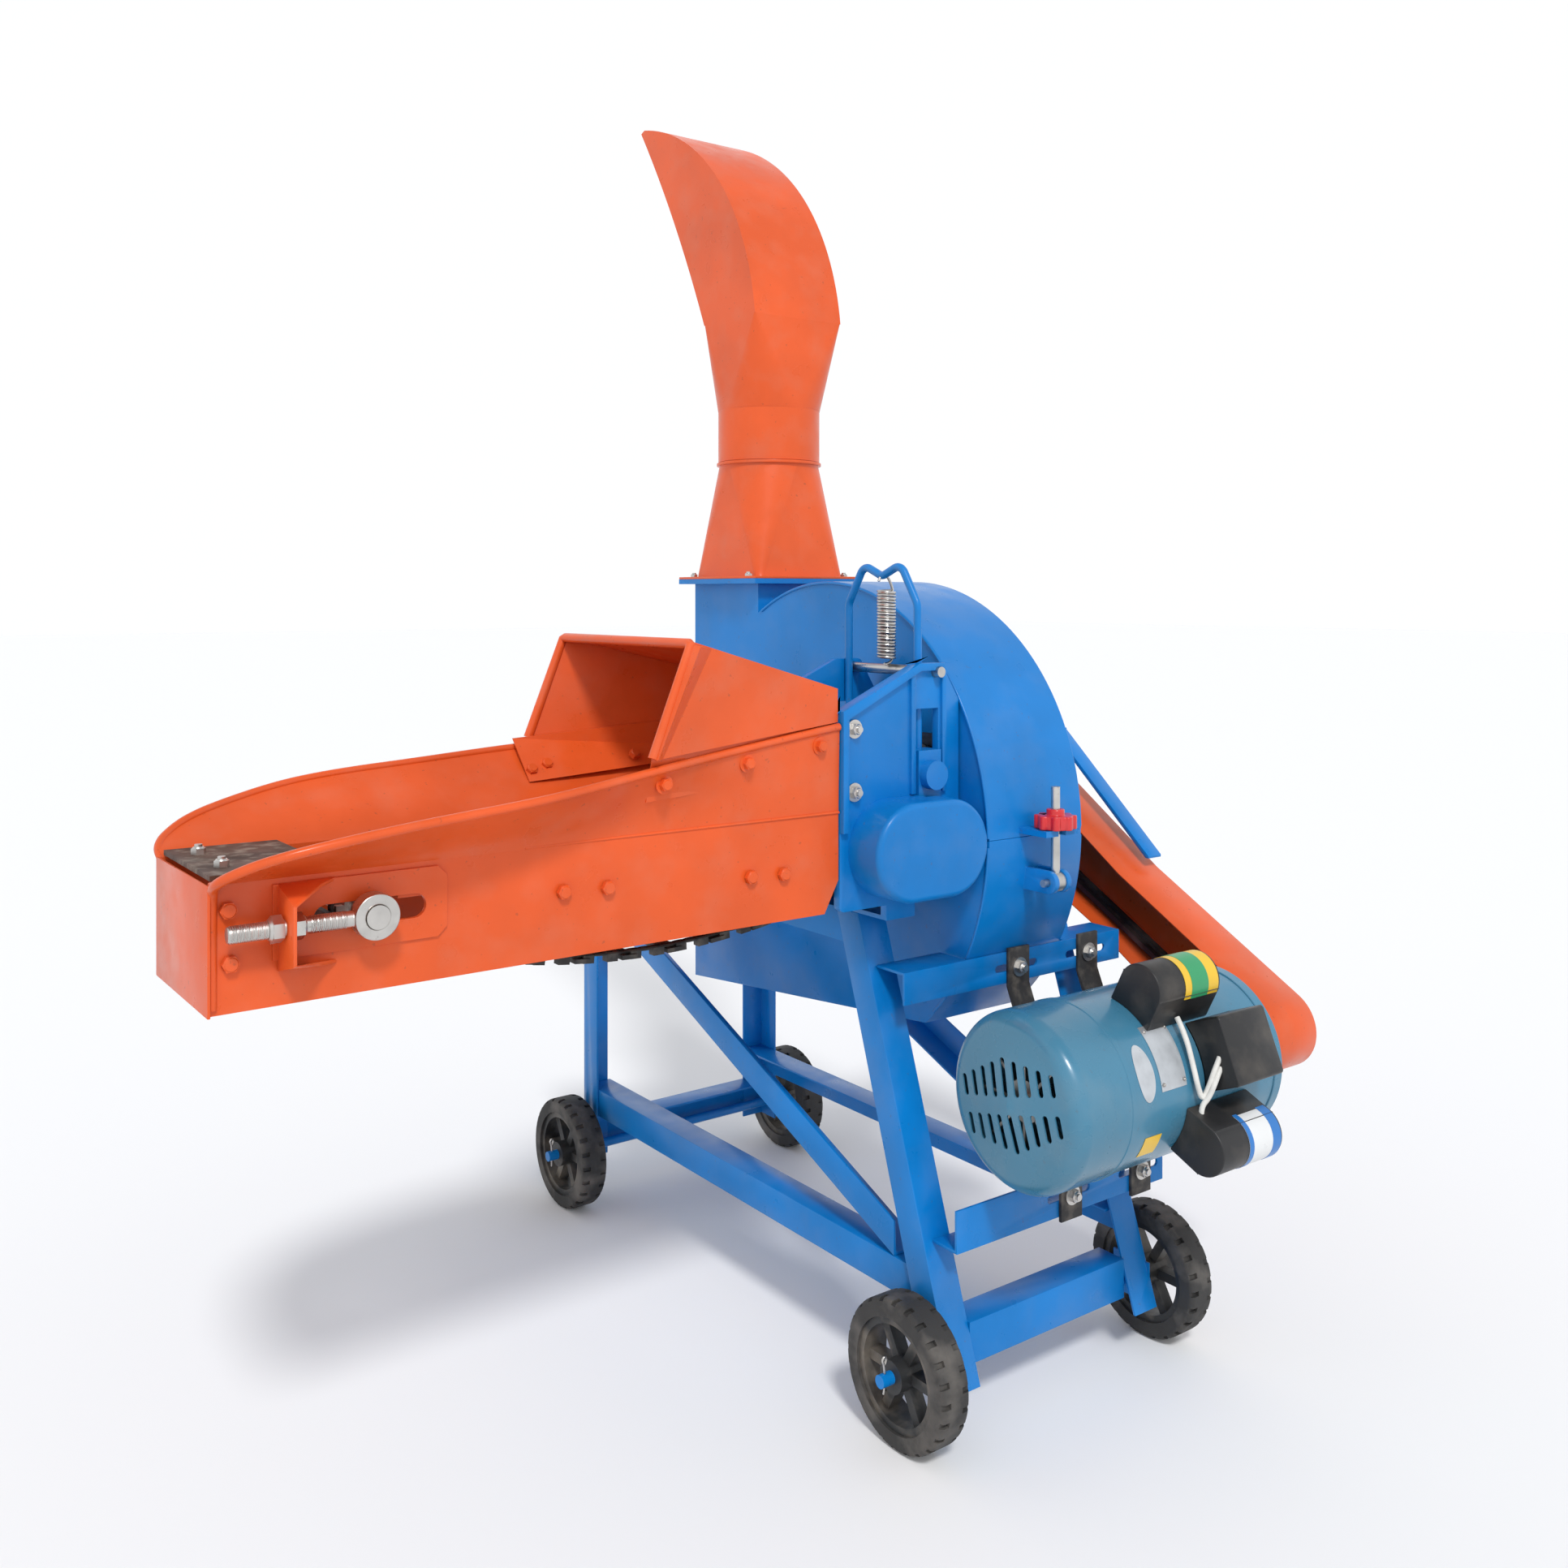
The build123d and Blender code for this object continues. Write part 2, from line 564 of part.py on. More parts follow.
# ==== outlet cone and spout ==============================================================
NECK_MID_Y = (NECK_Y0 + DRUM_FAR_Y) / 2
NECK_X = DRUM_X1 - DRUM_X0
NECK_Y = DRUM_FAR_Y - NECK_Y0
FLANGE_TOP = NECK_TOP + 4.0
with BuildPart() as outlet_cone:
    for inset, mode in ((0, Mode.ADD), (THIN, Mode.SUBTRACT)):
        with BuildSketch(level(FLANGE_TOP, DRUM_MID_X, NECK_MID_Y)):
            RectangleRounded(NECK_X - 2 * inset, NECK_Y - 2 * inset, 12)
        with BuildSketch(level(CONE_TOP, DRUM_MID_X, NECK_MID_Y)):
            RectangleRounded(2 * (COLLAR_R - inset), 2 * (COLLAR_R - inset),
                             COLLAR_R - inset - 1)
        loft(mode=mode)
    with BuildSketch(level(CONE_TOP, DRUM_MID_X, NECK_MID_Y)):
        Circle(COLLAR_R)
        Circle(COLLAR_R - THIN, mode=Mode.SUBTRACT)
    extrude(amount=COLLAR_H)
    with BuildSketch(level(CONE_TOP, DRUM_MID_X, NECK_MID_Y)):
        Circle(COLLAR_R + 5)
        Circle(COLLAR_R - THIN, mode=Mode.SUBTRACT)
    extrude(amount=5)
    with BuildSketch(level(NECK_TOP, DRUM_MID_X, NECK_MID_Y)):
        Rectangle(NECK_X + 2 * FLANGE_W, NECK_Y + 2 * FLANGE_W)
        RectangleRounded(NECK_X - 2 * THIN, NECK_Y - 2 * THIN, 12, mode=Mode.SUBTRACT)
    extrude(amount=FLANGE_TOP - NECK_TOP)
save(outlet_cone, "outlet_cone")


def hood_outline(dy=0.0, dz=0.0):
    """Back curve and free edge of the spout's hood, moved by dy, dz."""
    back = [(HOOD_BACK_Y + dy, HOOD_BASE + dz), (222 + dy, 1720 + dz),
            (HOOD_TIP_Y + dy, HOOD_TIP_Z + dz)]
    front = [(HOOD_TIP_Y + 11 + dy, HOOD_TIP_Z - 4 + dz), (352 + dy, 1655 + dz),
             (HOOD_BACK_Y + HOOD_DEPTH + dy, HOOD_BASE + dz)]
    return back, front


SPOUT_R = COLLAR_R + 0.3
with BuildPart() as spout:
    for inset, mode in ((0, Mode.ADD), (THIN, Mode.SUBTRACT)):
        with BuildSketch(level(SPOUT_ROUND_TOP, DRUM_MID_X, NECK_MID_Y)):
            RectangleRounded(2 * (SPOUT_R + THIN - inset), 2 * (SPOUT_R + THIN - inset),
                             SPOUT_R + THIN - inset - 1)
        with BuildSketch(level(HOOD_BASE, DRUM_MID_X, HOOD_BACK_Y + HOOD_DEPTH / 2)):
            RectangleRounded(NECK_X - 2 * inset, HOOD_DEPTH - 2 * inset, 3)
        loft(mode=mode)
    with BuildSketch(level(SPOUT_BASE, DRUM_MID_X, NECK_MID_Y)):
        Circle(SPOUT_R + THIN)
        Circle(SPOUT_R, mode=Mode.SUBTRACT)
    extrude(amount=SPOUT_ROUND_TOP - SPOUT_BASE)
    back, front = hood_outline()
    with BuildSketch(facing_x(DRUM_X0)):
        with BuildLine():
            ThreePointArc(*back)
            Line(back[2], front[0])
            ThreePointArc(*front)
            Line(front[2], back[0])
        make_face()
    extrude(amount=NECK_X)
    # the bend is open on its hollow side
    back, front = hood_outline(THIN * 1.2, -THIN)
    with BuildSketch(facing_x(DRUM_X0 + THIN)):
        with BuildLine():
            ThreePointArc(*back)
            Polyline(back[2], (front[0][0] + 20, front[0][1] - 20), (front[1][0] + 30, front[1][1] - 20),
                     (front[2][0] - 4 * THIN, front[2][1]), back[0])
        make_face()
    extrude(amount=NECK_X - 2 * THIN, mode=Mode.SUBTRACT)
save(spout, "spout")

# ==== rotor ==============================================================================
FRONT_SHAFT_R = 9.0
APEX = (ROLLER_X, SHAFT_Y, SHAFT_Z)
PINION_R = MODULE * PINION_TEETH / 2
BEVEL_R = MODULE * BEVEL_TEETH / 2
STEP_X = ROLLER_X + BEVEL_R + 6       # where the shaft steps down to the pinion
with BuildPart() as main_shaft:
    with BuildSketch(facing_x(STEP_X, *SHAFT_AT)):
        Circle(SHAFT_R)
    extrude(amount=SHAFT_END_X - STEP_X)
    with BuildSketch(facing_x(ROLLER_X + BEVEL_R - BEVEL_FACE, *SHAFT_AT)):
        Circle(FRONT_SHAFT_R)
    extrude(amount=STEP_X - ROLLER_X - BEVEL_R + BEVEL_FACE)
    chamfer(main_shaft.edges().sort_by(Axis.X)[-1], 2)
save(main_shaft, "main_shaft")

HUB_OUT_R = 45.0
DISC_HUB_L = 60.0
with BuildPart() as knife_disc:
    with BuildSketch(facing_x(DISC_X, *SHAFT_AT)):
        Circle(ROTOR_R - 18)
    extrude(amount=DISC_T)
    with BuildSketch(facing_x(DISC_X + DISC_T, *SHAFT_AT)):
        Circle(HUB_OUT_R)
    extrude(amount=DISC_HUB_L)
    with BuildSketch(facing_x(DISC_X, *SHAFT_AT)):
        Circle(SHAFT_R)
    extrude(amount=DISC_HUB_L + DISC_T, mode=Mode.SUBTRACT)
save(knife_disc, "knife_disc")

KNIFE_L = 185.0
KNIFE_W = 70.0
with BuildPart() as knives:
    with BuildSketch(facing_x(DISC_X - KNIFE_T, *SHAFT_AT)):
        with PolarLocations(ROTOR_R - 12 - KNIFE_L / 2, KNIVES, start_angle=30):
            Rectangle(KNIFE_L, KNIFE_W)
    extrude(amount=KNIFE_T)
    chamfer(knives.faces().sort_by(Axis.X)[:KNIVES].edges().filter_by(
        lambda e: e.length > KNIFE_L - 1), KNIFE_T * 0.6)
save(knives, "knives")

PADDLE_L = 95.0
PADDLE_T = 6.0
PADDLE_DEPTH = DRUM_X1 - DRUM_X0 - 45.0
with BuildPart() as paddles:
    with BuildSketch(facing_x(DISC_X + DISC_T, *SHAFT_AT)):
        with PolarLocations(ROTOR_R - PADDLE_L / 2, PADDLES):
            Rectangle(PADDLE_L, PADDLE_T)
    extrude(amount=PADDLE_DEPTH)
save(paddles, "paddles")

PULLEY_X0 = BELT_X[0] - 12
PULLEY_W = BELT_X[1] - BELT_X[0] + 24
GROOVE_W = BELT_W + 2


def pulley_outline(radius):
    """Half section of a two-groove pulley: along the shaft, then out from it."""
    points = [(0, 0), (0, radius + 3)]
    for x in BELT_X:
        start = x - PULLEY_X0 - GROOVE_W / 2
        points += [(start, radius + 3), (start, radius - 8),
                   (start + GROOVE_W, radius - 8), (start + GROOVE_W, radius + 3)]
    points += [(PULLEY_W, radius + 3), (PULLEY_W, 0)]
    return points


with BuildPart() as main_pulley:
    with BuildSketch(facing_near(SHAFT_Y, PULLEY_X0, SHAFT_Z)):
        with BuildLine():
            Polyline(*pulley_outline(MAIN_PULLEY_R), close=True)
        make_face()
    revolve(axis=Axis((BASE_X + PULLEY_X0, BASE_Y + SHAFT_Y, SHAFT_Z), (1, 0, 0)))
    with BuildSketch(facing_x(PULLEY_X0 - 1, *SHAFT_AT)):
        Circle(SHAFT_R)
    extrude(amount=PULLEY_W + 2, mode=Mode.SUBTRACT)
save(main_pulley, "main_pulley")

BED_X1 = 290.0
BED_PLATE_T = 10.0
BEARING_X = (164.0, 262.0)
BEARING_W = 40.0
BEARING_R = 40.0
STAY_W = 30.0
STAY_T = 6.0
STAY_TOP = 821.0
STAY_Y = SHAFT_Y - 66.0
with BuildPart() as bearing_bed:
    with BuildSketch(level(FRAME_TOP, (BEAM_IN + BED_X1) / 2, SHAFT_Y)):
        Rectangle(BED_X1 - BEAM_IN, 150)
    extrude(amount=BED_PLATE_T)
    # tongue and upright that carry the belt guard
    with BuildSketch(level(FRAME_TOP + 2, (BED_X1 + GUARD_X0) / 2 - 1, SHAFT_Y + 60)):
        Rectangle(GUARD_X0 - BED_X1 + 2, 60)
    extrude(amount=BED_PLATE_T - 2)
    with BuildSketch(facing_x(GUARD_X0 - IRON, SHAFT_Y + 60, FRAME_TOP + 2)):
        with Locations((0, 40)):
            Rectangle(60, 80)
    extrude(amount=IRON)
    # gussets under the overhang
    for y in (-60, 60):
        with BuildSketch(facing_near(SHAFT_Y + y + 3, 0, FRAME_TOP)):
            with BuildLine():
                Polyline((LEG_X - IRON, 0), (BED_X1 - 10, 0), (LEG_X - IRON, -42), close=True)
            make_face()
        extrude(amount=6)
    # post, arm and slanting stay over the belt guard
    with BuildSketch(level(FRAME_TOP + BED_PLATE_T, LEG_X + 25, STAY_Y)):
        Rectangle(STAY_W, STAY_T)
    extrude(amount=STAY_TOP - FRAME_TOP - BED_PLATE_T)
    arm_x = (LEG_X + 10, GUARD_X1)
    with BuildSketch(level(STAY_TOP - STAY_W, (arm_x[0] + arm_x[1]) / 2, STAY_Y)):
        Rectangle(arm_x[1] - arm_x[0], STAY_T)
    extrude(amount=STAY_W)
    with BuildSketch(facing_x(GUARD_X1 - STAY_W)):
        with BuildLine():
            Polyline((STAY_Y, STAY_TOP), (STAY_Y, STAY_TOP - 9), (-316, 636), (-322, 636),
                     (-322, 640), close=True)
        make_face()
    extrude(amount=STAY_W)
save(bearing_bed, "bearing_bed")

with BuildPart() as pillow_blocks:
    for x in BEARING_X:
        with BuildSketch(facing_x(x - BEARING_W / 2, SHAFT_Y, FRAME_TOP + BED_PLATE_T)):
            with Locations((0, 9)):
                Rectangle(130, 18)
            with Locations((0, 42)):
                Rectangle(2 * BEARING_R, 84)
            with Locations((0, SHAFT_Z - FRAME_TOP - BED_PLATE_T)):
                Circle(BEARING_R)
                Circle(SHAFT_R + FIT, mode=Mode.SUBTRACT)
        extrude(amount=BEARING_W)
save(pillow_blocks, "pillow_blocks")

# ==== gears ==============================================================================
TIP = 0.8             # tooth height above the pitch circle, in modules
ROOT = 1.25           # depth below it
HALF_PITCH = 0.62     # half tooth width at the pitch circle, in modules
HALF_TIP = 0.28
HALF_ROOT = 0.92


def gear_outline(module, teeth, phase):
    """Straight-flanked tooth outline with backlash; one tooth stands at the phase angle."""
    pitch_r = module * teeth / 2
    rows = ((pitch_r - ROOT * module, -HALF_ROOT), (pitch_r, -HALF_PITCH),
            (pitch_r + TIP * module, -HALF_TIP), (pitch_r + TIP * module, HALF_TIP),
            (pitch_r, HALF_PITCH), (pitch_r - ROOT * module, HALF_ROOT))
    points = []
    for tooth in range(teeth):
        centre = radians(phase + 360 * tooth / teeth)
        for radius, half in rows:
            turn = centre + half * module / radius
            points.append((radius * cos(turn), radius * sin(turn)))
    return points


def mesh_phase(phase, teeth, direction, mate_teeth):
    """Phase of a mating gear that lies in the given direction from the first one."""
    lead = (phase - direction) % (360 / teeth)
    return direction + 180 + 180 / mate_teeth - lead * teeth / mate_teeth


GEAR_Y = THROAT_Y0 - PLATE_T - 8      # back face of the gears under the oval cover
PAIR_Y = THROAT_Y1 + PLATE_T + 6 + GEAR_W
UPPER_Z = SHAFT_Z + ROLLER_RISE
GEAR_GAP = 0.4
IDLER_REACH = MODULE * (DRIVE_TEETH + IDLER_TEETH) / 2 + GEAR_GAP
IDLER_X = (ROLLER_X + HEADSHAFT_X) / 2
IDLER_DROP = sqrt(IDLER_REACH**2 - (ROLLER_X - IDLER_X) ** 2)
TO_IDLER = degrees(atan2(-IDLER_DROP, IDLER_X - ROLLER_X))
TO_HEAD = degrees(atan2(IDLER_DROP, HEADSHAFT_X - IDLER_X))
IDLER_PHASE = mesh_phase(0, DRIVE_TEETH, TO_IDLER, IDLER_TEETH)
HEAD_PHASE = mesh_phase(IDLER_PHASE, IDLER_TEETH, TO_HEAD, DRIVE_TEETH)
CONE = hypot(PINION_R, BEVEL_R)


def bevel_gear(plane, pitch_angle, teeth, phase, bore, hub):
    """Straight bevel gear. The plane's origin is the apex, its across direction the axis."""
    apex, along, out = plane.origin, plane.x_dir, plane.y_dir
    side = out.cross(along)
    lean = radians(pitch_angle)
    line = along * cos(lean) + out * sin(lean)
    small = (CONE - BEVEL_FACE) / CONE
    sink = 1.1 * MODULE
    heel = (CONE * cos(lean) + sink * sin(lean), CONE * sin(lean) - sink * cos(lean))
    toe = (heel[0] * small, heel[1] * small)
    with BuildPart() as tooth:
        for scale in (1.0, small):
            with BuildSketch(Plane(apex + line * CONE * scale, x_dir=side, z_dir=line)):
                m = MODULE * scale
                with BuildLine():
                    Polyline((-HALF_ROOT * m, -1.2 * m), (-HALF_TIP * m, TIP * m),
                             (HALF_TIP * m, TIP * m), (HALF_ROOT * m, -1.2 * m), close=True)
                make_face()
        loft()
    axis = Axis(apex, along)
    with BuildPart() as gear:
        with BuildSketch(plane):
            with BuildLine():
                Polyline((toe[0], 0), toe, heel, (heel[0] + hub, heel[1]), (heel[0] + hub, 0),
                         close=True)
            make_face()
        revolve(axis=axis)
        add([tooth.part.rotate(axis, phase + k * 360 / teeth) for k in range(teeth)])
        with BuildSketch(Plane(apex, x_dir=out, z_dir=along)):
            Circle(bore)
        extrude(amount=CONE + 3 * hub, mode=Mode.SUBTRACT)
    return gear


pinion_plane = facing_near(SHAFT_Y, ROLLER_X, SHAFT_Z)
pinion_angle = degrees(atan2(PINION_TEETH, BEVEL_TEETH))
with BuildPart() as bevel_pinion:
    for scale in (1.0, 1 - BEVEL_FACE / CONE):
        heel_x = ROLLER_X + CONE * cos(radians(pinion_angle)) * scale
        with BuildSketch(facing_x(heel_x, *SHAFT_AT)):
            with BuildLine():
                Polyline(*gear_outline(MODULE * scale, PINION_TEETH, 90), close=True)
            make_face()
    loft(ruled=True)
    with BuildSketch(facing_x(ROLLER_X, *SHAFT_AT)):
        Circle(FRONT_SHAFT_R)
    extrude(amount=2 * CONE, mode=Mode.SUBTRACT)
save(bevel_pinion, "bevel_pinion")

wheel_plane = Plane(pinion_plane.origin, x_dir=(0, -1, 0), z_dir=(-1, 0, 0))
bevel_wheel = bevel_gear(wheel_plane, 90 - pinion_angle, BEVEL_TEETH, 180 / BEVEL_TEETH,
                         ROLLER_SHAFT_R, 6)
ROLLER_AT = (ROLLER_X, SHAFT_Z)
with BuildPart() as roller_gears:
    with BuildSketch(facing_near(GEAR_Y, *ROLLER_AT)):
        with BuildLine():
            Polyline(*gear_outline(MODULE, DRIVE_TEETH, 0), close=True)
        make_face()
        Circle(ROLLER_SHAFT_R, mode=Mode.SUBTRACT)
    extrude(amount=GEAR_W)
    with BuildSketch(facing_near(PAIR_Y, *ROLLER_AT)):
        with BuildLine():
            Polyline(*gear_outline(PAIR_MODULE, PAIR_TEETH, 90), close=True)
        make_face()
        Circle(ROLLER_SHAFT_R, mode=Mode.SUBTRACT)
    extrude(amount=GEAR_W)
    add(bevel_wheel.part)
save(roller_gears, "roller_gears")

with BuildPart() as idler_gear:
    with BuildSketch(facing_near(GEAR_Y, IDLER_X, SHAFT_Z - IDLER_DROP)):
        with BuildLine():
            Polyline(*gear_outline(MODULE, IDLER_TEETH, IDLER_PHASE), close=True)
        make_face()
    extrude(amount=GEAR_W)
    with BuildSketch(facing_near(THROAT_Y0 - PLATE_T + 6, IDLER_X, SHAFT_Z - IDLER_DROP)):
        Circle(6)
    extrude(amount=GEAR_W + 22)
save(idler_gear, "idler_gear")

# ==== feed head ==========================================================================
SLOT_BOTTOM = UPPER_Z - BLOCK_H / 2 - GAP
SLOT_TOP = UPPER_Z + BLOCK_H / 2 + FLOAT + 4
PLATE_BOLTS = ((HEAD_X0 + 23, 870), (HEAD_X0 + 23, 790))


def side_plate(y_out):
    """Feed head side plate; y_out is its face towards +Y."""
    with BuildPart() as plate:
        with BuildSketch(facing_near(y_out)):
            with BuildLine():
                Polyline((HEAD_X0, HEAD_Z0), (HEAD_X0, HEAD_Z1 - 57), (ROLLER_X - 18, HEAD_Z1),
                         (ROLLER_X + 26, HEAD_Z1), (HEAD_X1, HEAD_Z1 - 50), (HEAD_X1, HEAD_Z0),
                         close=True)
            make_face()
            fillet(vertices(), 8)
            with Locations((ROLLER_X, (SLOT_BOTTOM + SLOT_TOP) / 2)):
                Rectangle(BLOCK_W, SLOT_TOP - SLOT_BOTTOM, mode=Mode.SUBTRACT)
            with Locations(ROLLER_AT):
                Circle(ROLLER_SHAFT_R + FIT, mode=Mode.SUBTRACT)
            with Locations((HEADSHAFT_X, SHAFT_Z)):
                Circle(HEADSHAFT_R + FIT, mode=Mode.SUBTRACT)
            with Locations((SPRING_BAR_X, SPRING_BAR_Z)):
                Circle(SPRING_BAR_R, mode=Mode.SUBTRACT)
            with Locations((IDLER_X, SHAFT_Z - IDLER_DROP)):
                Circle(6 + FIT, mode=Mode.SUBTRACT)
        extrude(amount=PLATE_T)
    return plate


feed_plate_near = side_plate(THROAT_Y0)
feed_plate_far = side_plate(THROAT_Y1 + PLATE_T)
with BuildPart() as feed_plates:
    add(feed_plate_near.part)
    # feet that stand on the frame's upper beam
    for y_mid in (THROAT_Y0 - PLATE_T / 2 + 44, THROAT_Y1 + PLATE_T / 2 + 28):
        with BuildSketch(level(FRAME_TOP, -(LEG_X + BEAM_IN) / 2, y_mid)):
            Rectangle(LEG_X - BEAM_IN, 100)
        extrude(amount=6)
    for y_out in (THROAT_Y0, THROAT_Y1 + PLATE_T):
        with BuildSketch(facing_near(y_out, -(LEG_X + BEAM_IN) / 2, FRAME_TOP)):
            with Locations((0, (HEAD_Z0 - FRAME_TOP) / 2 + 1)):
                Rectangle(LEG_X - BEAM_IN, HEAD_Z0 - FRAME_TOP + 2)
        extrude(amount=PLATE_T)
    # raised ribs along the slanted top, the slot and the table joint
    with BuildSketch(facing_near(THROAT_Y0 - PLATE_T)):
        with BuildLine():
            Polyline((HEAD_X0, HEAD_Z1 - 57), (ROLLER_X - 18, HEAD_Z1), (ROLLER_X + 26, HEAD_Z1),
                     (ROLLER_X + 26, HEAD_Z1 - 10), (ROLLER_X - 16, HEAD_Z1 - 10),
                     (HEAD_X0 + 10, HEAD_Z1 - 67), (HEAD_X0 + 10, HEAD_Z0 + 100),
                     (HEAD_X0, HEAD_Z0 + 100), close=True)
        make_face()
    extrude(amount=8)
    with BuildSketch(facing_near(THROAT_Y0 - PLATE_T)):
        for x in (ROLLER_X - BLOCK_W / 2 - 7, ROLLER_X + BLOCK_W / 2 + 7):
            with Locations((x, (SHAFT_Z + COVER_R + HEAD_Z1 - 10) / 2 + 1)):
                Rectangle(8, HEAD_Z1 - 12 - SHAFT_Z - COVER_R)
    extrude(amount=5)
    add(feed_plate_far.part)
    with BuildSketch(facing_near(THROAT_Y1 + PLATE_T + 1, SPRING_BAR_X, SPRING_BAR_Z)):
        Circle(SPRING_BAR_R)
    extrude(amount=THROAT_Y1 - THROAT_Y0 + 2 * PLATE_T + 20, mode=Mode.SUBTRACT)
save(feed_plates, "feed_plates")

ROLLER_Y0 = THROAT_Y0 + 2
ROLLER_Y1 = THROAT_Y1 - 2
RIBS = 12
with BuildPart() as lower_roller:
    with BuildSketch(facing_near(ROLLER_Y1, *ROLLER_AT)):
        Circle(LOWER_R - 7)
        with PolarLocations(LOWER_R - 6, RIBS):
            Rectangle(12, 7)
        Circle(LOWER_R, mode=Mode.INTERSECT)
    extrude(amount=ROLLER_Y1 - ROLLER_Y0)
    with BuildSketch(facing_near(SHAFT_Y - PINION_R + 2, *ROLLER_AT)):
        Circle(ROLLER_SHAFT_R)
    extrude(amount=SHAFT_Y - PINION_R + 2 - GEAR_Y + GEAR_W + 2)
save(lower_roller, "lower_roller")

YOKE_IN = 14.0                # how far the sliding blocks reach inside the plates
with BuildPart() as upper_roller:
    with BuildSketch(facing_near(THROAT_Y1 - YOKE_IN - 1, ROLLER_X, UPPER_Z)):
        Circle(UPPER_R - 6)
        with PolarLocations(UPPER_R - 6, RIBS):
            Rectangle(12, 7)
        Circle(UPPER_R, mode=Mode.INTERSECT)
    extrude(amount=THROAT_Y1 - THROAT_Y0 - 2 * YOKE_IN - 2)
    with BuildSketch(facing_near(PAIR_Y + 2, ROLLER_X, UPPER_Z)):
        Circle(UPPER_SHAFT_R)
    extrude(amount=PAIR_Y + 2 - THROAT_Y0 + PLATE_T + 10)
save(upper_roller, "upper_roller")

with BuildPart() as upper_roller_gear:
    with BuildSketch(facing_near(PAIR_Y, ROLLER_X, UPPER_Z)):
        with BuildLine():
            Polyline(*gear_outline(PAIR_MODULE, PAIR_TEETH, 270 + 180 / PAIR_TEETH), close=True)
        make_face()
        Circle(UPPER_SHAFT_R, mode=Mode.SUBTRACT)
    extrude(amount=GEAR_W)
save(upper_roller_gear, "upper_roller_gear")

BAIL_Y0 = THROAT_Y0 + BAIL_R + 0.6
BAIL_Y1 = THROAT_Y1 - BAIL_R - 0.6
BLOCK_OUT = 6.0
with BuildPart() as roller_yoke:
    for y_from, y_to in ((THROAT_Y0 - PLATE_T - BLOCK_OUT, THROAT_Y0 + YOKE_IN),
                         (THROAT_Y1 - YOKE_IN, THROAT_Y1 + PLATE_T + 3)):
        with BuildSketch(facing_near(y_to, ROLLER_X, UPPER_Z)):
            Rectangle(BLOCK_W - 2 * GAP, BLOCK_H)
        extrude(amount=y_to - y_from)
    with BuildSketch(facing_near(THROAT_Y0 - PLATE_T, ROLLER_X, UPPER_Z)):
        Circle(19)
    extrude(amount=20)
    with BuildSketch(facing_near(THROAT_Y1 + PLATE_T + 4, ROLLER_X, UPPER_Z)):
        Circle(UPPER_SHAFT_R + FIT)
    extrude(amount=THROAT_Y1 - THROAT_Y0 + 2 * PLATE_T + 15, mode=Mode.SUBTRACT)
    mid_y = (BAIL_Y0 + BAIL_Y1) / 2
    knee = BAIL_TOP - 60
    bail_x = BASE_X + ROLLER_X
    corners = [(bail_x, BASE_Y + y, z) for y, z in (
        (BAIL_Y0, UPPER_Z + BLOCK_H / 2 - 4), (BAIL_Y0, knee), (BAIL_Y0 + 34, BAIL_TOP - 6),
        (mid_y, BAIL_TOP - 22), (BAIL_Y1 - 34, BAIL_TOP - 6), (BAIL_Y1, knee),
        (BAIL_Y1, UPPER_Z + BLOCK_H / 2 - 4))]
    with BuildLine() as bail_path:
        FilletPolyline(*corners, radius=(24, 16, 16, 16, 24))
    with BuildSketch(Plane(corners[0], x_dir=(1, 0, 0), z_dir=(0, 0, 1))):
        Circle(BAIL_R)
    sweep(path=bail_path.line)
save(roller_yoke, "roller_yoke")

SPRING_Z0 = SPRING_BAR_Z + 14
SPRING_Z1 = BAIL_TOP - 34
with BuildPart() as pressure_spring:
    with BuildSketch(level(SPRING_Z0, (SPRING_BAR_X + ROLLER_X) / 2, mid_y)):
        Circle(SPRING_R)
        Circle(SPRING_R - 3, mode=Mode.SUBTRACT)
    extrude(amount=SPRING_Z1 - SPRING_Z0)
save(pressure_spring, "pressure_spring")

COVER_MID = (ROLLER_X + HEADSHAFT_X) / 2 - 1
COVER_L = 189.0
with BuildPart() as gear_cover:
    cover_back = facing_near(THROAT_Y0 - PLATE_T, COVER_MID, SHAFT_Z)
    with BuildSketch(cover_back):
        SlotOverall(COVER_L, 2 * COVER_R)
    extrude(amount=COVER_DEPTH)
    fillet(gear_cover.faces().sort_by(Axis.Y)[0].edges(), 8)
    with BuildSketch(cover_back):
        SlotOverall(COVER_L - 2 * SHEET, 2 * (COVER_R - SHEET))
    extrude(amount=COVER_DEPTH - SHEET, mode=Mode.SUBTRACT)
    # notch over the sliding block's boss
    with BuildSketch(facing_near(THROAT_Y0 - PLATE_T + 1, ROLLER_X, UPPER_Z)):
        Circle(21)
        Rectangle(BLOCK_W + 2, BLOCK_H + 2)
    extrude(amount=BLOCK_OUT + 16, mode=Mode.SUBTRACT)
save(gear_cover, "gear_cover")

# ==== slat conveyor ======================================================================
CHAIN_Y = (THROAT_Y0 + CHAIN_IN + CHAIN_W / 2, THROAT_Y1 - CHAIN_IN - CHAIN_W / 2)
SAG = 58.0


def sprocket(plane_z, x, y):
    """Eight-tooth sprocket blank just inside the chain's path."""
    with BuildPart() as wheel:
        with BuildSketch(facing_near(y + CHAIN_W / 2 - 1, x, plane_z)):
            Circle(CHAIN_R - 8)
            with PolarLocations(CHAIN_R - 8, 8):
                Rectangle(14, 8)
            Circle(CHAIN_R - GAP, mode=Mode.INTERSECT)
        extrude(amount=CHAIN_W - 2)
    return wheel.part


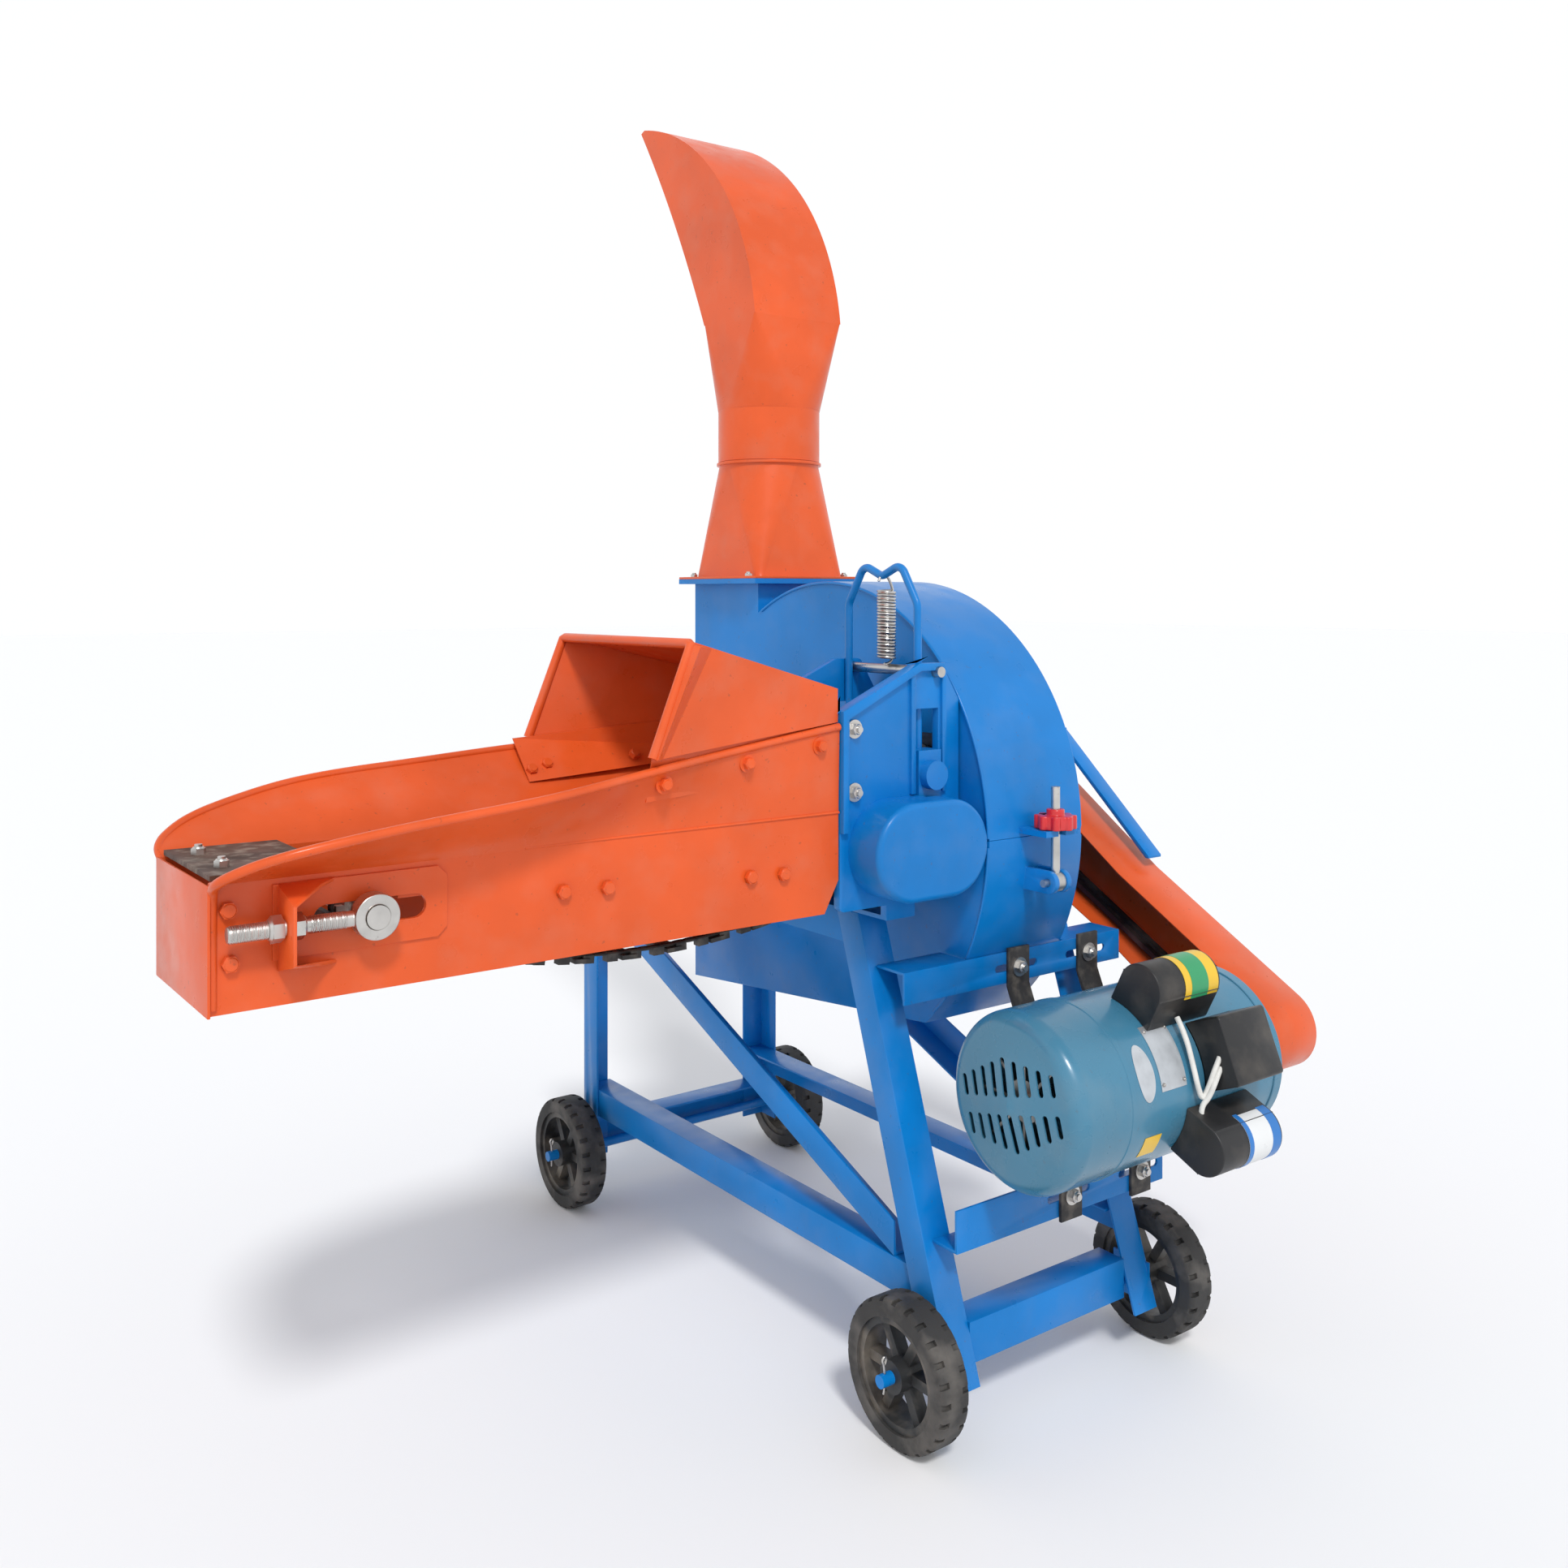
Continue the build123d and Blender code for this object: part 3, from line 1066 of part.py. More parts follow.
with BuildPart() as head_shaft:
    with BuildSketch(facing_near(THROAT_Y1 + PLATE_T + 4, HEADSHAFT_X, SHAFT_Z)):
        Circle(HEADSHAFT_R)
    extrude(amount=THROAT_Y1 + PLATE_T + 4 - GEAR_Y + GEAR_W + 2)
    for y in CHAIN_Y:
        add(sprocket(SHAFT_Z, HEADSHAFT_X, y))
    with BuildSketch(facing_near(GEAR_Y, HEADSHAFT_X, SHAFT_Z)):
        with BuildLine():
            Polyline(*gear_outline(MODULE, DRIVE_TEETH, HEAD_PHASE), close=True)
        make_face()
    extrude(amount=GEAR_W)
save(head_shaft, "head_shaft")

TAIL_OUT = 35.0
with BuildPart() as tail_shaft:
    with BuildSketch(facing_near(THROAT_Y1 + PLATE_T + TAIL_OUT, TAIL_X, TAIL_Z)):
        Circle(TAIL_R)
    extrude(amount=THROAT_Y1 - THROAT_Y0 + 2 * PLATE_T + 2 * TAIL_OUT)
    for y in CHAIN_Y:
        add(sprocket(TAIL_Z, TAIL_X, y))
save(tail_shaft, "tail_shaft")


def chain_loop(radius):
    """Closed path round both shafts with a hanging return run, as edges in X and Z."""
    hx, hz, tx, tz = HEADSHAFT_X, SHAFT_Z, TAIL_X, TAIL_Z
    middle = ((hx + tx) / 2, (hz + tz) / 2 - radius - SAG)
    return (
        Line((tx, tz + radius), (hx, hz + radius)),
        ThreePointArc((hx, hz + radius), (hx + radius, hz), (hx, hz - radius)),
        ThreePointArc((hx, hz - radius), middle, (tx, tz - radius)),
        ThreePointArc((tx, tz - radius), (tx - radius, tz), (tx, tz + radius)),
    )


with BuildPart() as conveyor_chains:
    for y in CHAIN_Y:
        with BuildSketch(facing_near(y + CHAIN_W / 2)):
            with BuildLine():
                chain_loop(CHAIN_R + CHAIN_T)
            make_face()
        extrude(amount=CHAIN_W)
        with BuildSketch(facing_near(y + CHAIN_W / 2)):
            with BuildLine():
                chain_loop(CHAIN_R)
            make_face()
        extrude(amount=CHAIN_W, mode=Mode.SUBTRACT)
save(conveyor_chains, "conveyor_chains")

SLAT_R = CHAIN_R + CHAIN_T
SLAT_L = THROAT_Y1 - THROAT_Y0 - 6
SLATS_TOP = int((HEADSHAFT_X - TAIL_X) // SLAT_PITCH)
with BuildPart() as conveyor_slats:
    mid_throat = (THROAT_Y0 + THROAT_Y1) / 2
    for k in range(SLATS_TOP):
        x = TAIL_X + SLAT_PITCH * (k + 0.5)
        share = (x - TAIL_X) / (HEADSHAFT_X - TAIL_X)
        top = TAIL_Z + (SHAFT_Z - TAIL_Z) * share + SLAT_R
        hang = 4 * SAG * share * (1 - share)
        for z, up in ((top + 0.2, 1), (top - 2 * SLAT_R - hang - SLAT_T - 3, -1)):
            with BuildSketch(level(z, x, mid_throat)):
                Rectangle(SLAT_W, SLAT_L)
            extrude(amount=SLAT_T)
save(conveyor_slats, "conveyor_slats")

# ==== feed table =========================================================================
WALL_NEAR = THROAT_Y0 - PLATE_T       # outer faces of the straight lower walls
WALL_FAR = THROAT_Y1 + PLATE_T
WALL_END = HEAD_X0 - 2.0
SLOT_X = (TAIL_X - TAKEUP - TAIL_R - 2, TAIL_X + 62)
# stations along the table: X, lip height, lip overhang near side, lip overhang far side
STATIONS = (
    (WALL_END, 874.0, 2.0, 2.0),
    (-560.0, 848.0, 36.0, 84.0),
    (-860.0, 826.0, 78.0, 76.0),
    (-960.0, 806.0, 72.0, 60.0),
    (TABLE_X0, 774.0, 34.0, 28.0),
)
LIP_R = 5.0


def flare_section(x, lip_z, out, wall_y, side):
    """Thin strip from the crease up to the rolled lip at one station."""
    lean = atan2(out, lip_z - CREASE_Z)
    across = SHEET / cos(lean)
    lip_y = wall_y + side * out
    return facing_x(x), ((wall_y, CREASE_Z), (wall_y - side * across, CREASE_Z),
                         (lip_y - side * across, lip_z), (lip_y, lip_z))


def table_wall(wall_y, side, out_index):
    with BuildPart() as wall:
        with BuildSketch(facing_near(wall_y)):
            with BuildLine():
                Polyline((TABLE_X0, TABLE_Z0), (TABLE_X0, CREASE_Z), (WALL_END, CREASE_Z),
                         (WALL_END, TABLE_Z0 + 40), (WALL_END - 22, TABLE_Z0), close=True)
            make_face()
            with Locations(((SLOT_X[0] + SLOT_X[1]) / 2, TAIL_Z)):
                SlotOverall(SLOT_X[1] - SLOT_X[0], 2 * TAIL_R + 1, mode=Mode.SUBTRACT)
        extrude(amount=side * SHEET)
        for start, end in zip(STATIONS[:-1], STATIONS[1:]):
            for station in (start, end):
                plane, points = flare_section(station[0], station[1], station[out_index],
                                              wall_y, side)
                with BuildSketch(plane):
                    with BuildLine():
                        Polyline(*points, close=True)
                    make_face()
            loft(ruled=True)
        lip = [Vector(BASE_X + s[0], BASE_Y + wall_y + side * (s[out_index] - SHEET / 2), s[1])
               for s in STATIONS]
        for a, b in zip(lip[:-1], lip[1:]):
            with BuildSketch(Plane(a, z_dir=b - a)):
                Circle(LIP_R)
            extrude(amount=(b - a).length)
    return wall


table_wall_near = table_wall(WALL_NEAR, -1, 2)
save(table_wall_near, "table_wall_near")
table_wall_far = table_wall(WALL_FAR, 1, 3)
save(table_wall_far, "table_wall_far")

INSIDE_Y0 = WALL_NEAR + SHEET
INSIDE_Y1 = WALL_FAR - SHEET
INSIDE_W = INSIDE_Y1 - INSIDE_Y0
INSIDE_MID = (INSIDE_Y0 + INSIDE_Y1) / 2
with BuildPart() as table_bed:
    bed_x0 = TAIL_X + CHAIN_R + 10
    bed_x1 = HEADSHAFT_X - CHAIN_R - 48
    with BuildSketch(level(BED_Z, (bed_x0 + bed_x1) / 2, INSIDE_MID)):
        Rectangle(bed_x1 - bed_x0, INSIDE_W)
    extrude(amount=BED_T)
    # end plate and its fold
    with BuildSketch(facing_x(TABLE_X0 - SHEET, (WALL_NEAR + WALL_FAR) / 2)):
        with Locations((0, (TABLE_Z0 + CREASE_Z) / 2)):
            Rectangle(WALL_FAR - WALL_NEAR + 16, CREASE_Z - TABLE_Z0)
    extrude(amount=SHEET)
    with BuildSketch(level(TABLE_Z0, TABLE_X0 + 22, INSIDE_MID)):
        Rectangle(44, INSIDE_W)
    extrude(amount=SHEET)
save(table_bed, "table_bed")

PLATE_X0 = TABLE_X0 + 2
PLATE_X1 = TAIL_X - CHAIN_R - CHAIN_T - SLAT_T - TAKEUP + 40
with BuildPart() as tail_cover_plate:
    with BuildSketch(level(CREASE_Z + 3, (PLATE_X0 + PLATE_X1) / 2, INSIDE_MID)):
        with BuildLine():
            half_x = (PLATE_X1 - PLATE_X0) / 2
            Polyline((-half_x, -INSIDE_W / 2), (half_x, -INSIDE_W / 2 + 6),
                     (half_x, INSIDE_W / 2 - 6), (-half_x, INSIDE_W / 2), close=True)
        make_face()
    extrude(amount=5)
save(tail_cover_plate, "tail_cover_plate")

# funnel hood over the throat, between an upright mouth and the feed head
HOOD_MOUTH = ((-563.0, -389.0), (-563.0, -80.0))
MOUTH_Z = 855.0
MOUTH_RISE = 132.0
MOUTH_LEAN = 50.0
HEAD_HOOD_Z = 880.0
HEAD_HOOD_TOP = 922.0
with BuildPart() as throat_hood:
    mouth_up = Vector(MOUTH_LEAN, 0, MOUTH_RISE)
    mouth_plane = Plane((BASE_X + HOOD_MOUTH[0][0], BASE_Y, MOUTH_Z), x_dir=(0, 1, 0),
                        z_dir=Vector(0, 1, 0).cross(mouth_up))
    head_plane = facing_x(WALL_END - 1, 0, HEAD_HOOD_Z)
    height = mouth_up.length
    for inset, mode in ((0, Mode.ADD), (THIN, Mode.SUBTRACT)):
        low = -12 if inset else 0
        lift = 1.5 * THIN if inset else 0
        with BuildSketch(mouth_plane.offset(-inset)):
            with BuildLine():
                Polyline((HOOD_MOUTH[0][1] + inset, low), (HOOD_MOUTH[1][1] - inset, low),
                         (HOOD_MOUTH[1][1] - inset, height - lift),
                         (HOOD_MOUTH[0][1] + inset, height - lift), close=True)
            make_face()
        with BuildSketch(head_plane.offset(inset)):
            with BuildLine():
                Polyline((WALL_NEAR + inset, low), (WALL_FAR - inset, low),
                         (WALL_FAR - inset, HEAD_HOOD_TOP - HEAD_HOOD_Z - lift),
                         (WALL_NEAR + inset, HEAD_HOOD_TOP - HEAD_HOOD_Z - lift), close=True)
            make_face()
        loft(ruled=True, mode=mode)
save(throat_hood, "throat_hood")

# ---- chain take-up ----------------------------------------------------------------------
EYE_OUT = 24.0                # eye bolts from the table wall
EYE_Y = WALL_NEAR - EYE_OUT
EYE_FAR_Y = WALL_FAR + EYE_OUT
EYE_T = 19.0
ROD_R = 8.0
ROD_END = -1017.0
BRACKET_X = -962.0
with BuildPart() as takeup_eyes:
    for y, side in ((EYE_Y, -1), (EYE_FAR_Y, 1)):
        with BuildSketch(facing_near(y + EYE_T / 2, TAIL_X, TAIL_Z)):
            Circle(23)
        extrude(amount=EYE_T)
        with BuildSketch(facing_x(ROD_END, y, TAIL_Z)):
            Circle(ROD_R)
        extrude(amount=TAIL_X - ROD_END)
        with BuildSketch(facing_near(y + EYE_T, TAIL_X, TAIL_Z)):
            Circle(TAIL_R + FIT)
        extrude(amount=2 * EYE_T, mode=Mode.SUBTRACT)
save(takeup_eyes, "takeup_eyes")

with BuildPart() as takeup_brackets:
    for wall, side, y in ((WALL_NEAR, -1, EYE_Y), (WALL_FAR, 1, EYE_FAR_Y)):
        base_x = (BRACKET_X - 20, SLOT_X[0] - 4)
        with BuildSketch(facing_near(wall, (base_x[0] + base_x[1]) / 2, TAIL_Z - 4)):
            Rectangle(base_x[1] - base_x[0], 74)
        extrude(amount=-side * 4 if side > 0 else 4)
        with BuildSketch(facing_x(BRACKET_X, wall + side * 25, TAIL_Z - 4)):
            Rectangle(50, 74)
        extrude(amount=5)
        with BuildSketch(facing_x(BRACKET_X - 14, y, TAIL_Z)):
            RegularPolygon(15, 6)
        extrude(amount=14)
        with BuildSketch(facing_x(BRACKET_X + 5, y, TAIL_Z)):
            RegularPolygon(15, 6)
        extrude(amount=14)
        with BuildSketch(facing_x(BRACKET_X - 20, y, TAIL_Z)):
            Circle(ROD_R + FIT)
        extrude(amount=50, mode=Mode.SUBTRACT)
save(takeup_brackets, "takeup_brackets")

# ==== belt drive and guard ===============================================================
MAIN_AT = (SHAFT_Y, SHAFT_Z)
MOTOR_AT = (MOTOR_Y, MOTOR_Z)
MID_SHARE = 0.48
MID_AT = tuple(a + (b - a) * MID_SHARE for a, b in zip(MAIN_AT, MOTOR_AT))
GUARD_R = (68.0, 50.0, 56.0)  # guard radius at the main pulley, half way and at the motor


with BuildPart() as belts:
    for x in BELT_X:
        for radius_change, mode in ((BELT_T - 6, Mode.ADD), (-6, Mode.SUBTRACT)):
            with BuildSketch(facing_x(x - BELT_W / 2)):
                with BuildLine():
                    CenterArc(MAIN_AT, MAIN_PULLEY_R + radius_change, 0, 360)
                    CenterArc(MOTOR_AT, MOTOR_PULLEY_R + radius_change, 0, 360)
                make_hull()
            extrude(amount=BELT_W, mode=mode)
save(belts, "belts")

with BuildPart() as belt_guard:
    for inset, mode in ((0, Mode.ADD), (THIN, Mode.SUBTRACT)):
        for a, b, ra, rb in ((MAIN_AT, MID_AT, GUARD_R[0], GUARD_R[1]),
                             (MID_AT, MOTOR_AT, GUARD_R[1], GUARD_R[2])):
            with BuildSketch(facing_x(GUARD_X0)):
                with BuildLine():
                    CenterArc(a, ra - inset, 0, 360)
                    CenterArc(b, rb - inset, 0, 360)
                make_hull()
            extrude(amount=GUARD_X1 - GUARD_X0 - inset, mode=mode)
save(belt_guard, "belt_guard")

# ==== motor ==============================================================================
CORE_R = MOTOR_R - 10
WINDING_R = 52.0
END_BELL = 16.0
with BuildPart() as motor_body:
    with BuildSketch(facing_x(MOTOR_X0, *MOTOR_AT)):
        Circle(MOTOR_R)
    extrude(amount=MOTOR_X1 - MOTOR_X0)
    with BuildSketch(facing_x(MOTOR_X1, *MOTOR_AT)):
        Circle(MOTOR_R * 0.62)
    extrude(amount=END_BELL)
    with BuildSketch(facing_x(MOTOR_X0 + 14, *MOTOR_AT)):
        Circle(CORE_R)
    extrude(amount=MOTOR_X1 - MOTOR_X0 - 28, mode=Mode.SUBTRACT)
    with BuildSketch(facing_x(MOTOR_X0 - 1, *MOTOR_AT)):
        Circle(MOTOR_SHAFT_R + FIT)
    extrude(amount=MOTOR_X1 - MOTOR_X0 + END_BELL + 2, mode=Mode.SUBTRACT)
    # stator core inside the shell
    with BuildSketch(facing_x(MOTOR_X0 + 60, *MOTOR_AT)):
        Circle(CORE_R)
        Circle(WINDING_R, mode=Mode.SUBTRACT)
    extrude(amount=MOTOR_X1 - MOTOR_X0 - 120)
save(motor_body, "motor_body")

FAN_X0 = MOTOR_X0 - FAN_COVER_L
VENTS = 9
with BuildPart() as fan_cover:
    with BuildSketch(facing_near(MOTOR_Y, MOTOR_X0, MOTOR_Z)):
        with BuildLine():
            Polyline((0, MOTOR_R - THIN), (0, MOTOR_R + 1), (-70, MOTOR_R + 1))
            RadiusArc((-70, MOTOR_R + 1), (-92, MOTOR_R - 20), -22)
            Line((-92, MOTOR_R - 20), (-FAN_COVER_L, 0))
            Line((-FAN_COVER_L, 0), (-FAN_COVER_L + THIN, 0))
            Line((-FAN_COVER_L + THIN, 0), (-90, MOTOR_R - 22))
            Line((-90, MOTOR_R - 22), (-70, MOTOR_R - THIN))
            Line((-70, MOTOR_R - THIN), (0, MOTOR_R - THIN))
        make_face()
    revolve(axis=Axis((BASE_X + MOTOR_X0, BASE_Y + MOTOR_Y, MOTOR_Z), (1, 0, 0)))
    vent_plane = facing_x(FAN_X0 - 4, *MOTOR_AT).rotated((-14, 0, 0))
    with BuildSketch(vent_plane):
        for row in (-1, 1):
            for k in range(VENTS):
                across = (k - (VENTS - 1) / 2) * 18.5
                tall = 46 - abs(k - (VENTS - 1) / 2) * 5
                with Locations((across, row * (10 + tall / 2))):
                    SlotOverall(tall, 8, rotation=90)
    extrude(amount=20, mode=Mode.SUBTRACT)
save(fan_cover, "fan_cover")

FAN_BLADES = 8
with BuildPart() as motor_shaft:
    with BuildSketch(facing_x(FAN_X0 + 24, *MOTOR_AT)):
        Circle(MOTOR_SHAFT_R)
    extrude(amount=SHAFT_END_X - FAN_X0 - 24)
    with BuildSketch(facing_x(FAN_X0 + 30, *MOTOR_AT)):
        Circle(26)
        with PolarLocations(50, FAN_BLADES):
            Rectangle(60, 4)
    extrude(amount=26)
    with BuildSketch(facing_x(MOTOR_X0 + 60, *MOTOR_AT)):
        Circle(WINDING_R - 1)
    extrude(amount=MOTOR_X1 - MOTOR_X0 - 120)
save(motor_shaft, "motor_shaft")

with BuildPart() as motor_pulley:
    with BuildSketch(facing_near(MOTOR_Y, PULLEY_X0, MOTOR_Z)):
        with BuildLine():
            Polyline(*pulley_outline(MOTOR_PULLEY_R), close=True)
        make_face()
    revolve(axis=Axis((BASE_X + PULLEY_X0, BASE_Y + MOTOR_Y, MOTOR_Z), (1, 0, 0)))
    with BuildSketch(facing_x(PULLEY_X0 - 1, *MOTOR_AT)):
        Circle(MOTOR_SHAFT_R)
    extrude(amount=PULLEY_W + 2, mode=Mode.SUBTRACT)
save(motor_pulley, "motor_pulley")

STRAP_TOP = UPPER_BAR_Z + UPPER_BAR_H + 6
STRAP_LOW = LOWER_BAR_Z - 6
BEND_TOP = UPPER_BAR_Z - 4
BEND_LOW = LOWER_BAR_Z + LOWER_BAR_H + 6


def strap_front(z):
    """Front face of the slanting stretch of a strap at height z."""
    share = (BEND_TOP - z) / (BEND_TOP - BEND_LOW)
    return UPPER_BAR_Y + (LOWER_BAR_Y - UPPER_BAR_Y) * share - STRAP_T + 0.5


with BuildPart() as motor_straps:
    for x in STRAP_X:
        with BuildSketch(facing_x(x - STRAP_W / 2)):
            with BuildLine():
                Polyline((UPPER_BAR_Y, STRAP_TOP), (UPPER_BAR_Y, BEND_TOP),
                         (LOWER_BAR_Y, BEND_LOW), (LOWER_BAR_Y, STRAP_LOW),
                         (LOWER_BAR_Y - STRAP_T, STRAP_LOW), (LOWER_BAR_Y - STRAP_T, BEND_LOW + 1),
                         (UPPER_BAR_Y - STRAP_T, BEND_TOP + 1), (UPPER_BAR_Y - STRAP_T, STRAP_TOP),
                         close=True)
            make_face()
        extrude(amount=STRAP_W)
        # cast foot between the strap and the motor shell
        with BuildSketch(facing_x(x - STRAP_W / 2 + 4)):
            with BuildLine():
                Polyline((strap_front(MOTOR_Z + 48), MOTOR_Z + 48),
                         (strap_front(MOTOR_Z - 60), MOTOR_Z - 60),
                         (MOTOR_Y + 60, MOTOR_Z - 60), (MOTOR_Y + 60, MOTOR_Z + 48), close=True)
            make_face()
        extrude(amount=STRAP_W - 8)
    for x in STRAP_X:
        with BuildSketch(facing_x(x - STRAP_W, *MOTOR_AT)):
            Circle(MOTOR_R)
        extrude(amount=2 * STRAP_W, mode=Mode.SUBTRACT)
save(motor_straps, "motor_straps")

# ---- boxes on the motor -----------------------------------------------------------------
BOX_TURN = 22.0
CAP_UP_TURN = 63.0
CAP_LOW_TURN = -24.0
CAP_R = 32.0
CAP_OUT = 142.0
BOX_X = (75.0, 165.0)
BOX_OUT = 154.0
BOX_W = 84.0


def around_motor(x, turn):
    """Plane facing +X whose up direction points out of the motor at the given turn."""
    lift = radians(turn)
    out = Vector(0, -cos(lift), sin(lift))
    return Plane((BASE_X + x, BASE_Y + MOTOR_Y, MOTOR_Z), x_dir=out.cross(Vector(1, 0, 0)),
                 z_dir=(1, 0, 0))


with BuildPart() as terminal_box:
    with BuildSketch(around_motor(BOX_X[0], BOX_TURN)):
        with Locations((0, (MOTOR_R + BOX_OUT) / 2 - 6)):
            Rectangle(BOX_W, BOX_OUT - MOTOR_R + 12)
    extrude(amount=BOX_X[1] - BOX_X[0])
    fillet(terminal_box.edges().filter_by(Axis.X), 5)
    with BuildSketch(around_motor(BOX_X[0] - 1, BOX_TURN)):
        Circle(MOTOR_R)
    extrude(amount=BOX_X[1] - BOX_X[0] + 2, mode=Mode.SUBTRACT)
save(terminal_box, "terminal_box")

with BuildPart() as capacitor_covers:
    for turn, x0 in ((CAP_UP_TURN, 4.0), (CAP_LOW_TURN, 40.0)):
        with BuildSketch(around_motor(x0, turn)):
            with Locations((0, CAP_OUT)):
                Circle(CAP_R)
            with Locations((0, CAP_OUT - CAP_R / 2)):
                Rectangle(2 * CAP_R, CAP_R + 12)
        extrude(amount=116)
        with BuildSketch(around_motor(x0 - 1, turn)):
            Circle(MOTOR_R)
        extrude(amount=118, mode=Mode.SUBTRACT)
save(capacitor_covers, "capacitor_covers")

LEAD_R = 3.5
with BuildPart() as motor_leads:
    for turn, x0 in ((CAP_UP_TURN - 19, 46.0), (CAP_LOW_TURN + 19, 58.0)):
        start = around_motor(x0, turn)
        base = start.origin + start.y_dir * (MOTOR_R + 8)
        end_plane = around_motor(BOX_X[0], BOX_TURN)
        end = end_plane.origin + end_plane.y_dir * (MOTOR_R + 26) + end_plane.x_dir * (
            8 if turn > 0 else -8)
        corner = Vector(base.X, end.Y, end.Z)
        with BuildLine() as lead_path:
            FilletPolyline(base, corner, end, radius=10)
        with BuildSketch(Plane(base, z_dir=corner - base)):
            Circle(LEAD_R)
        sweep(path=lead_path.line)
save(motor_leads, "motor_leads")

# ==== fasteners ==========================================================================
BOLT_HEAD_R = 7.5
BOLT_HEAD_H = 8.0
WASHER_T = 2.0
SPLIT_PIN_L = 36.0
TABLE_BOLTS = ((-655, 715), (-600, 713), (-405, 702), (-356, 700), (-1010, 741), (-1008, 690))
BED_BOLTS = [(x, y) for x in BEARING_X for y in (-52, 52)]
STRAP_BOLTS = [(x, 0) for x in STRAP_X]
BOLT_ROWS = (
    (facing_near(WALL_NEAR), TABLE_BOLTS),
    (facing_near(THROAT_Y0 - PLATE_T), PLATE_BOLTS),
    (facing_near(UPPER_BAR_Y - STRAP_T, 0, UPPER_BAR_Z + UPPER_BAR_H / 2), STRAP_BOLTS),
    (facing_near(LOWER_BAR_Y - STRAP_T, 0, LOWER_BAR_Z + LOWER_BAR_H / 2), STRAP_BOLTS),
    (level(FRAME_TOP + BED_PLATE_T + 18, 0, SHAFT_Y), BED_BOLTS),
)
with BuildPart() as fasteners:
    for face, points in BOLT_ROWS:
        with BuildSketch(face):
            with Locations(*points):
                Circle(BOLT_HEAD_R + 4)
        extrude(amount=WASHER_T)
        with BuildSketch(face):
            with Locations(*points):
                RegularPolygon(BOLT_HEAD_R, 6)
        extrude(amount=WASHER_T + BOLT_HEAD_H)
    # split pins through the axle ends
    for sy in (-1, 1):
        with BuildSketch(level(WHEEL_R - SPLIT_PIN_L / 2, 0, sy * WHEEL_Y)):
            with Locations((-PIN_X, 0), (PIN_X, 0)):
                Circle(PIN_R)
        extrude(amount=SPLIT_PIN_L)
save(fasteners, "fasteners")
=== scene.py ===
# Looks of the wheeled chaff cutter: painted sheet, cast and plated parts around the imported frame.
# Lengths in the tables are millimetres from the wheelbase centre; place() turns them to metres.
import json
import math

import bmesh
import bpy
from mathutils import Matrix, Vector

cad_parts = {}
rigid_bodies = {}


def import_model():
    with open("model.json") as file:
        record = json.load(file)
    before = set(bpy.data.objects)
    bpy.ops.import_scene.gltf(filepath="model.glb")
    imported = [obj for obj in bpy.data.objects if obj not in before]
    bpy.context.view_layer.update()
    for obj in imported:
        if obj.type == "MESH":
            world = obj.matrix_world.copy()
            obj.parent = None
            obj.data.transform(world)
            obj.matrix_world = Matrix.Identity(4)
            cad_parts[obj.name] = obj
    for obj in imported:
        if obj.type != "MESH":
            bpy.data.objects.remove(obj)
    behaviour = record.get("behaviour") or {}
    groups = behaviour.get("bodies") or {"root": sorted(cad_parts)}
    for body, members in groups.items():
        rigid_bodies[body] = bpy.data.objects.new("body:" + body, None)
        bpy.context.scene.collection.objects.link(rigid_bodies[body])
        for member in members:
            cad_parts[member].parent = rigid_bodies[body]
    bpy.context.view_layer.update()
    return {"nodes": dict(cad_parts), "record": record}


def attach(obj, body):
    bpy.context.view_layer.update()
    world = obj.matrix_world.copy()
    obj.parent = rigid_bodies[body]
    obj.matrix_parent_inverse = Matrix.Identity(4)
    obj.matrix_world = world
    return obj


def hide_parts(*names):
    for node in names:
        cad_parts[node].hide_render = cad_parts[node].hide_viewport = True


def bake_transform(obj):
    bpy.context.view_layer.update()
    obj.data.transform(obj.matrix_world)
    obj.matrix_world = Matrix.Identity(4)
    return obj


for spare in list(bpy.data.objects):
    bpy.data.objects.remove(spare)
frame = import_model()
NODES = frame["nodes"]

MM = 0.001
BASE = Vector((320.0, 87.0, 0.0))


def place(x, y, z):
    """Point in the row frame, in metres, from millimetres about the wheelbase centre."""
    return (Vector((x, y, z)) + BASE) * MM


# ---- materials --------------------------------------------------------------------------
def link(tree, source, out_name, target, in_name):
    """Joins a named output to a named input."""
    tree.links.new(source.outputs[out_name], target.inputs[in_name])


def coarse_noise(tree, scale, detail, stretch=(1, 1, 1)):
    """Noise texture on object coordinates."""
    coords = tree.nodes.new("ShaderNodeTexCoord")
    mapping = tree.nodes.new("ShaderNodeMapping")
    mapping.inputs["Scale"].default_value = stretch
    noise = tree.nodes.new("ShaderNodeTexNoise")
    noise.inputs["Scale"].default_value = scale
    noise.inputs["Detail"].default_value = detail
    link(tree, coords, "Object", mapping, "Vector")
    link(tree, mapping, "Vector", noise, "Vector")
    return noise


def ramp(tree, source, out_name, low, high, low_color, high_color):
    """Colour ramp from one colour at a low value to another at a high one."""
    stops = tree.nodes.new("ShaderNodeValToRGB")
    stops.color_ramp.elements[0].position = low
    stops.color_ramp.elements[1].position = high
    stops.color_ramp.elements[0].color = (*low_color, 1)
    stops.color_ramp.elements[1].color = (*high_color, 1)
    link(tree, source, out_name, stops, "Fac")
    return stops


def blend_color(tree, factor, under, over):
    """Output that lays a plain colour over another output by a factor."""
    mix = tree.nodes.new("ShaderNodeMix")
    mix.data_type = "RGBA"
    tree.links.new(factor, mix.inputs[0])
    tree.links.new(under, mix.inputs[6])
    mix.inputs[7].default_value = (*over, 1)
    return mix.outputs[2]


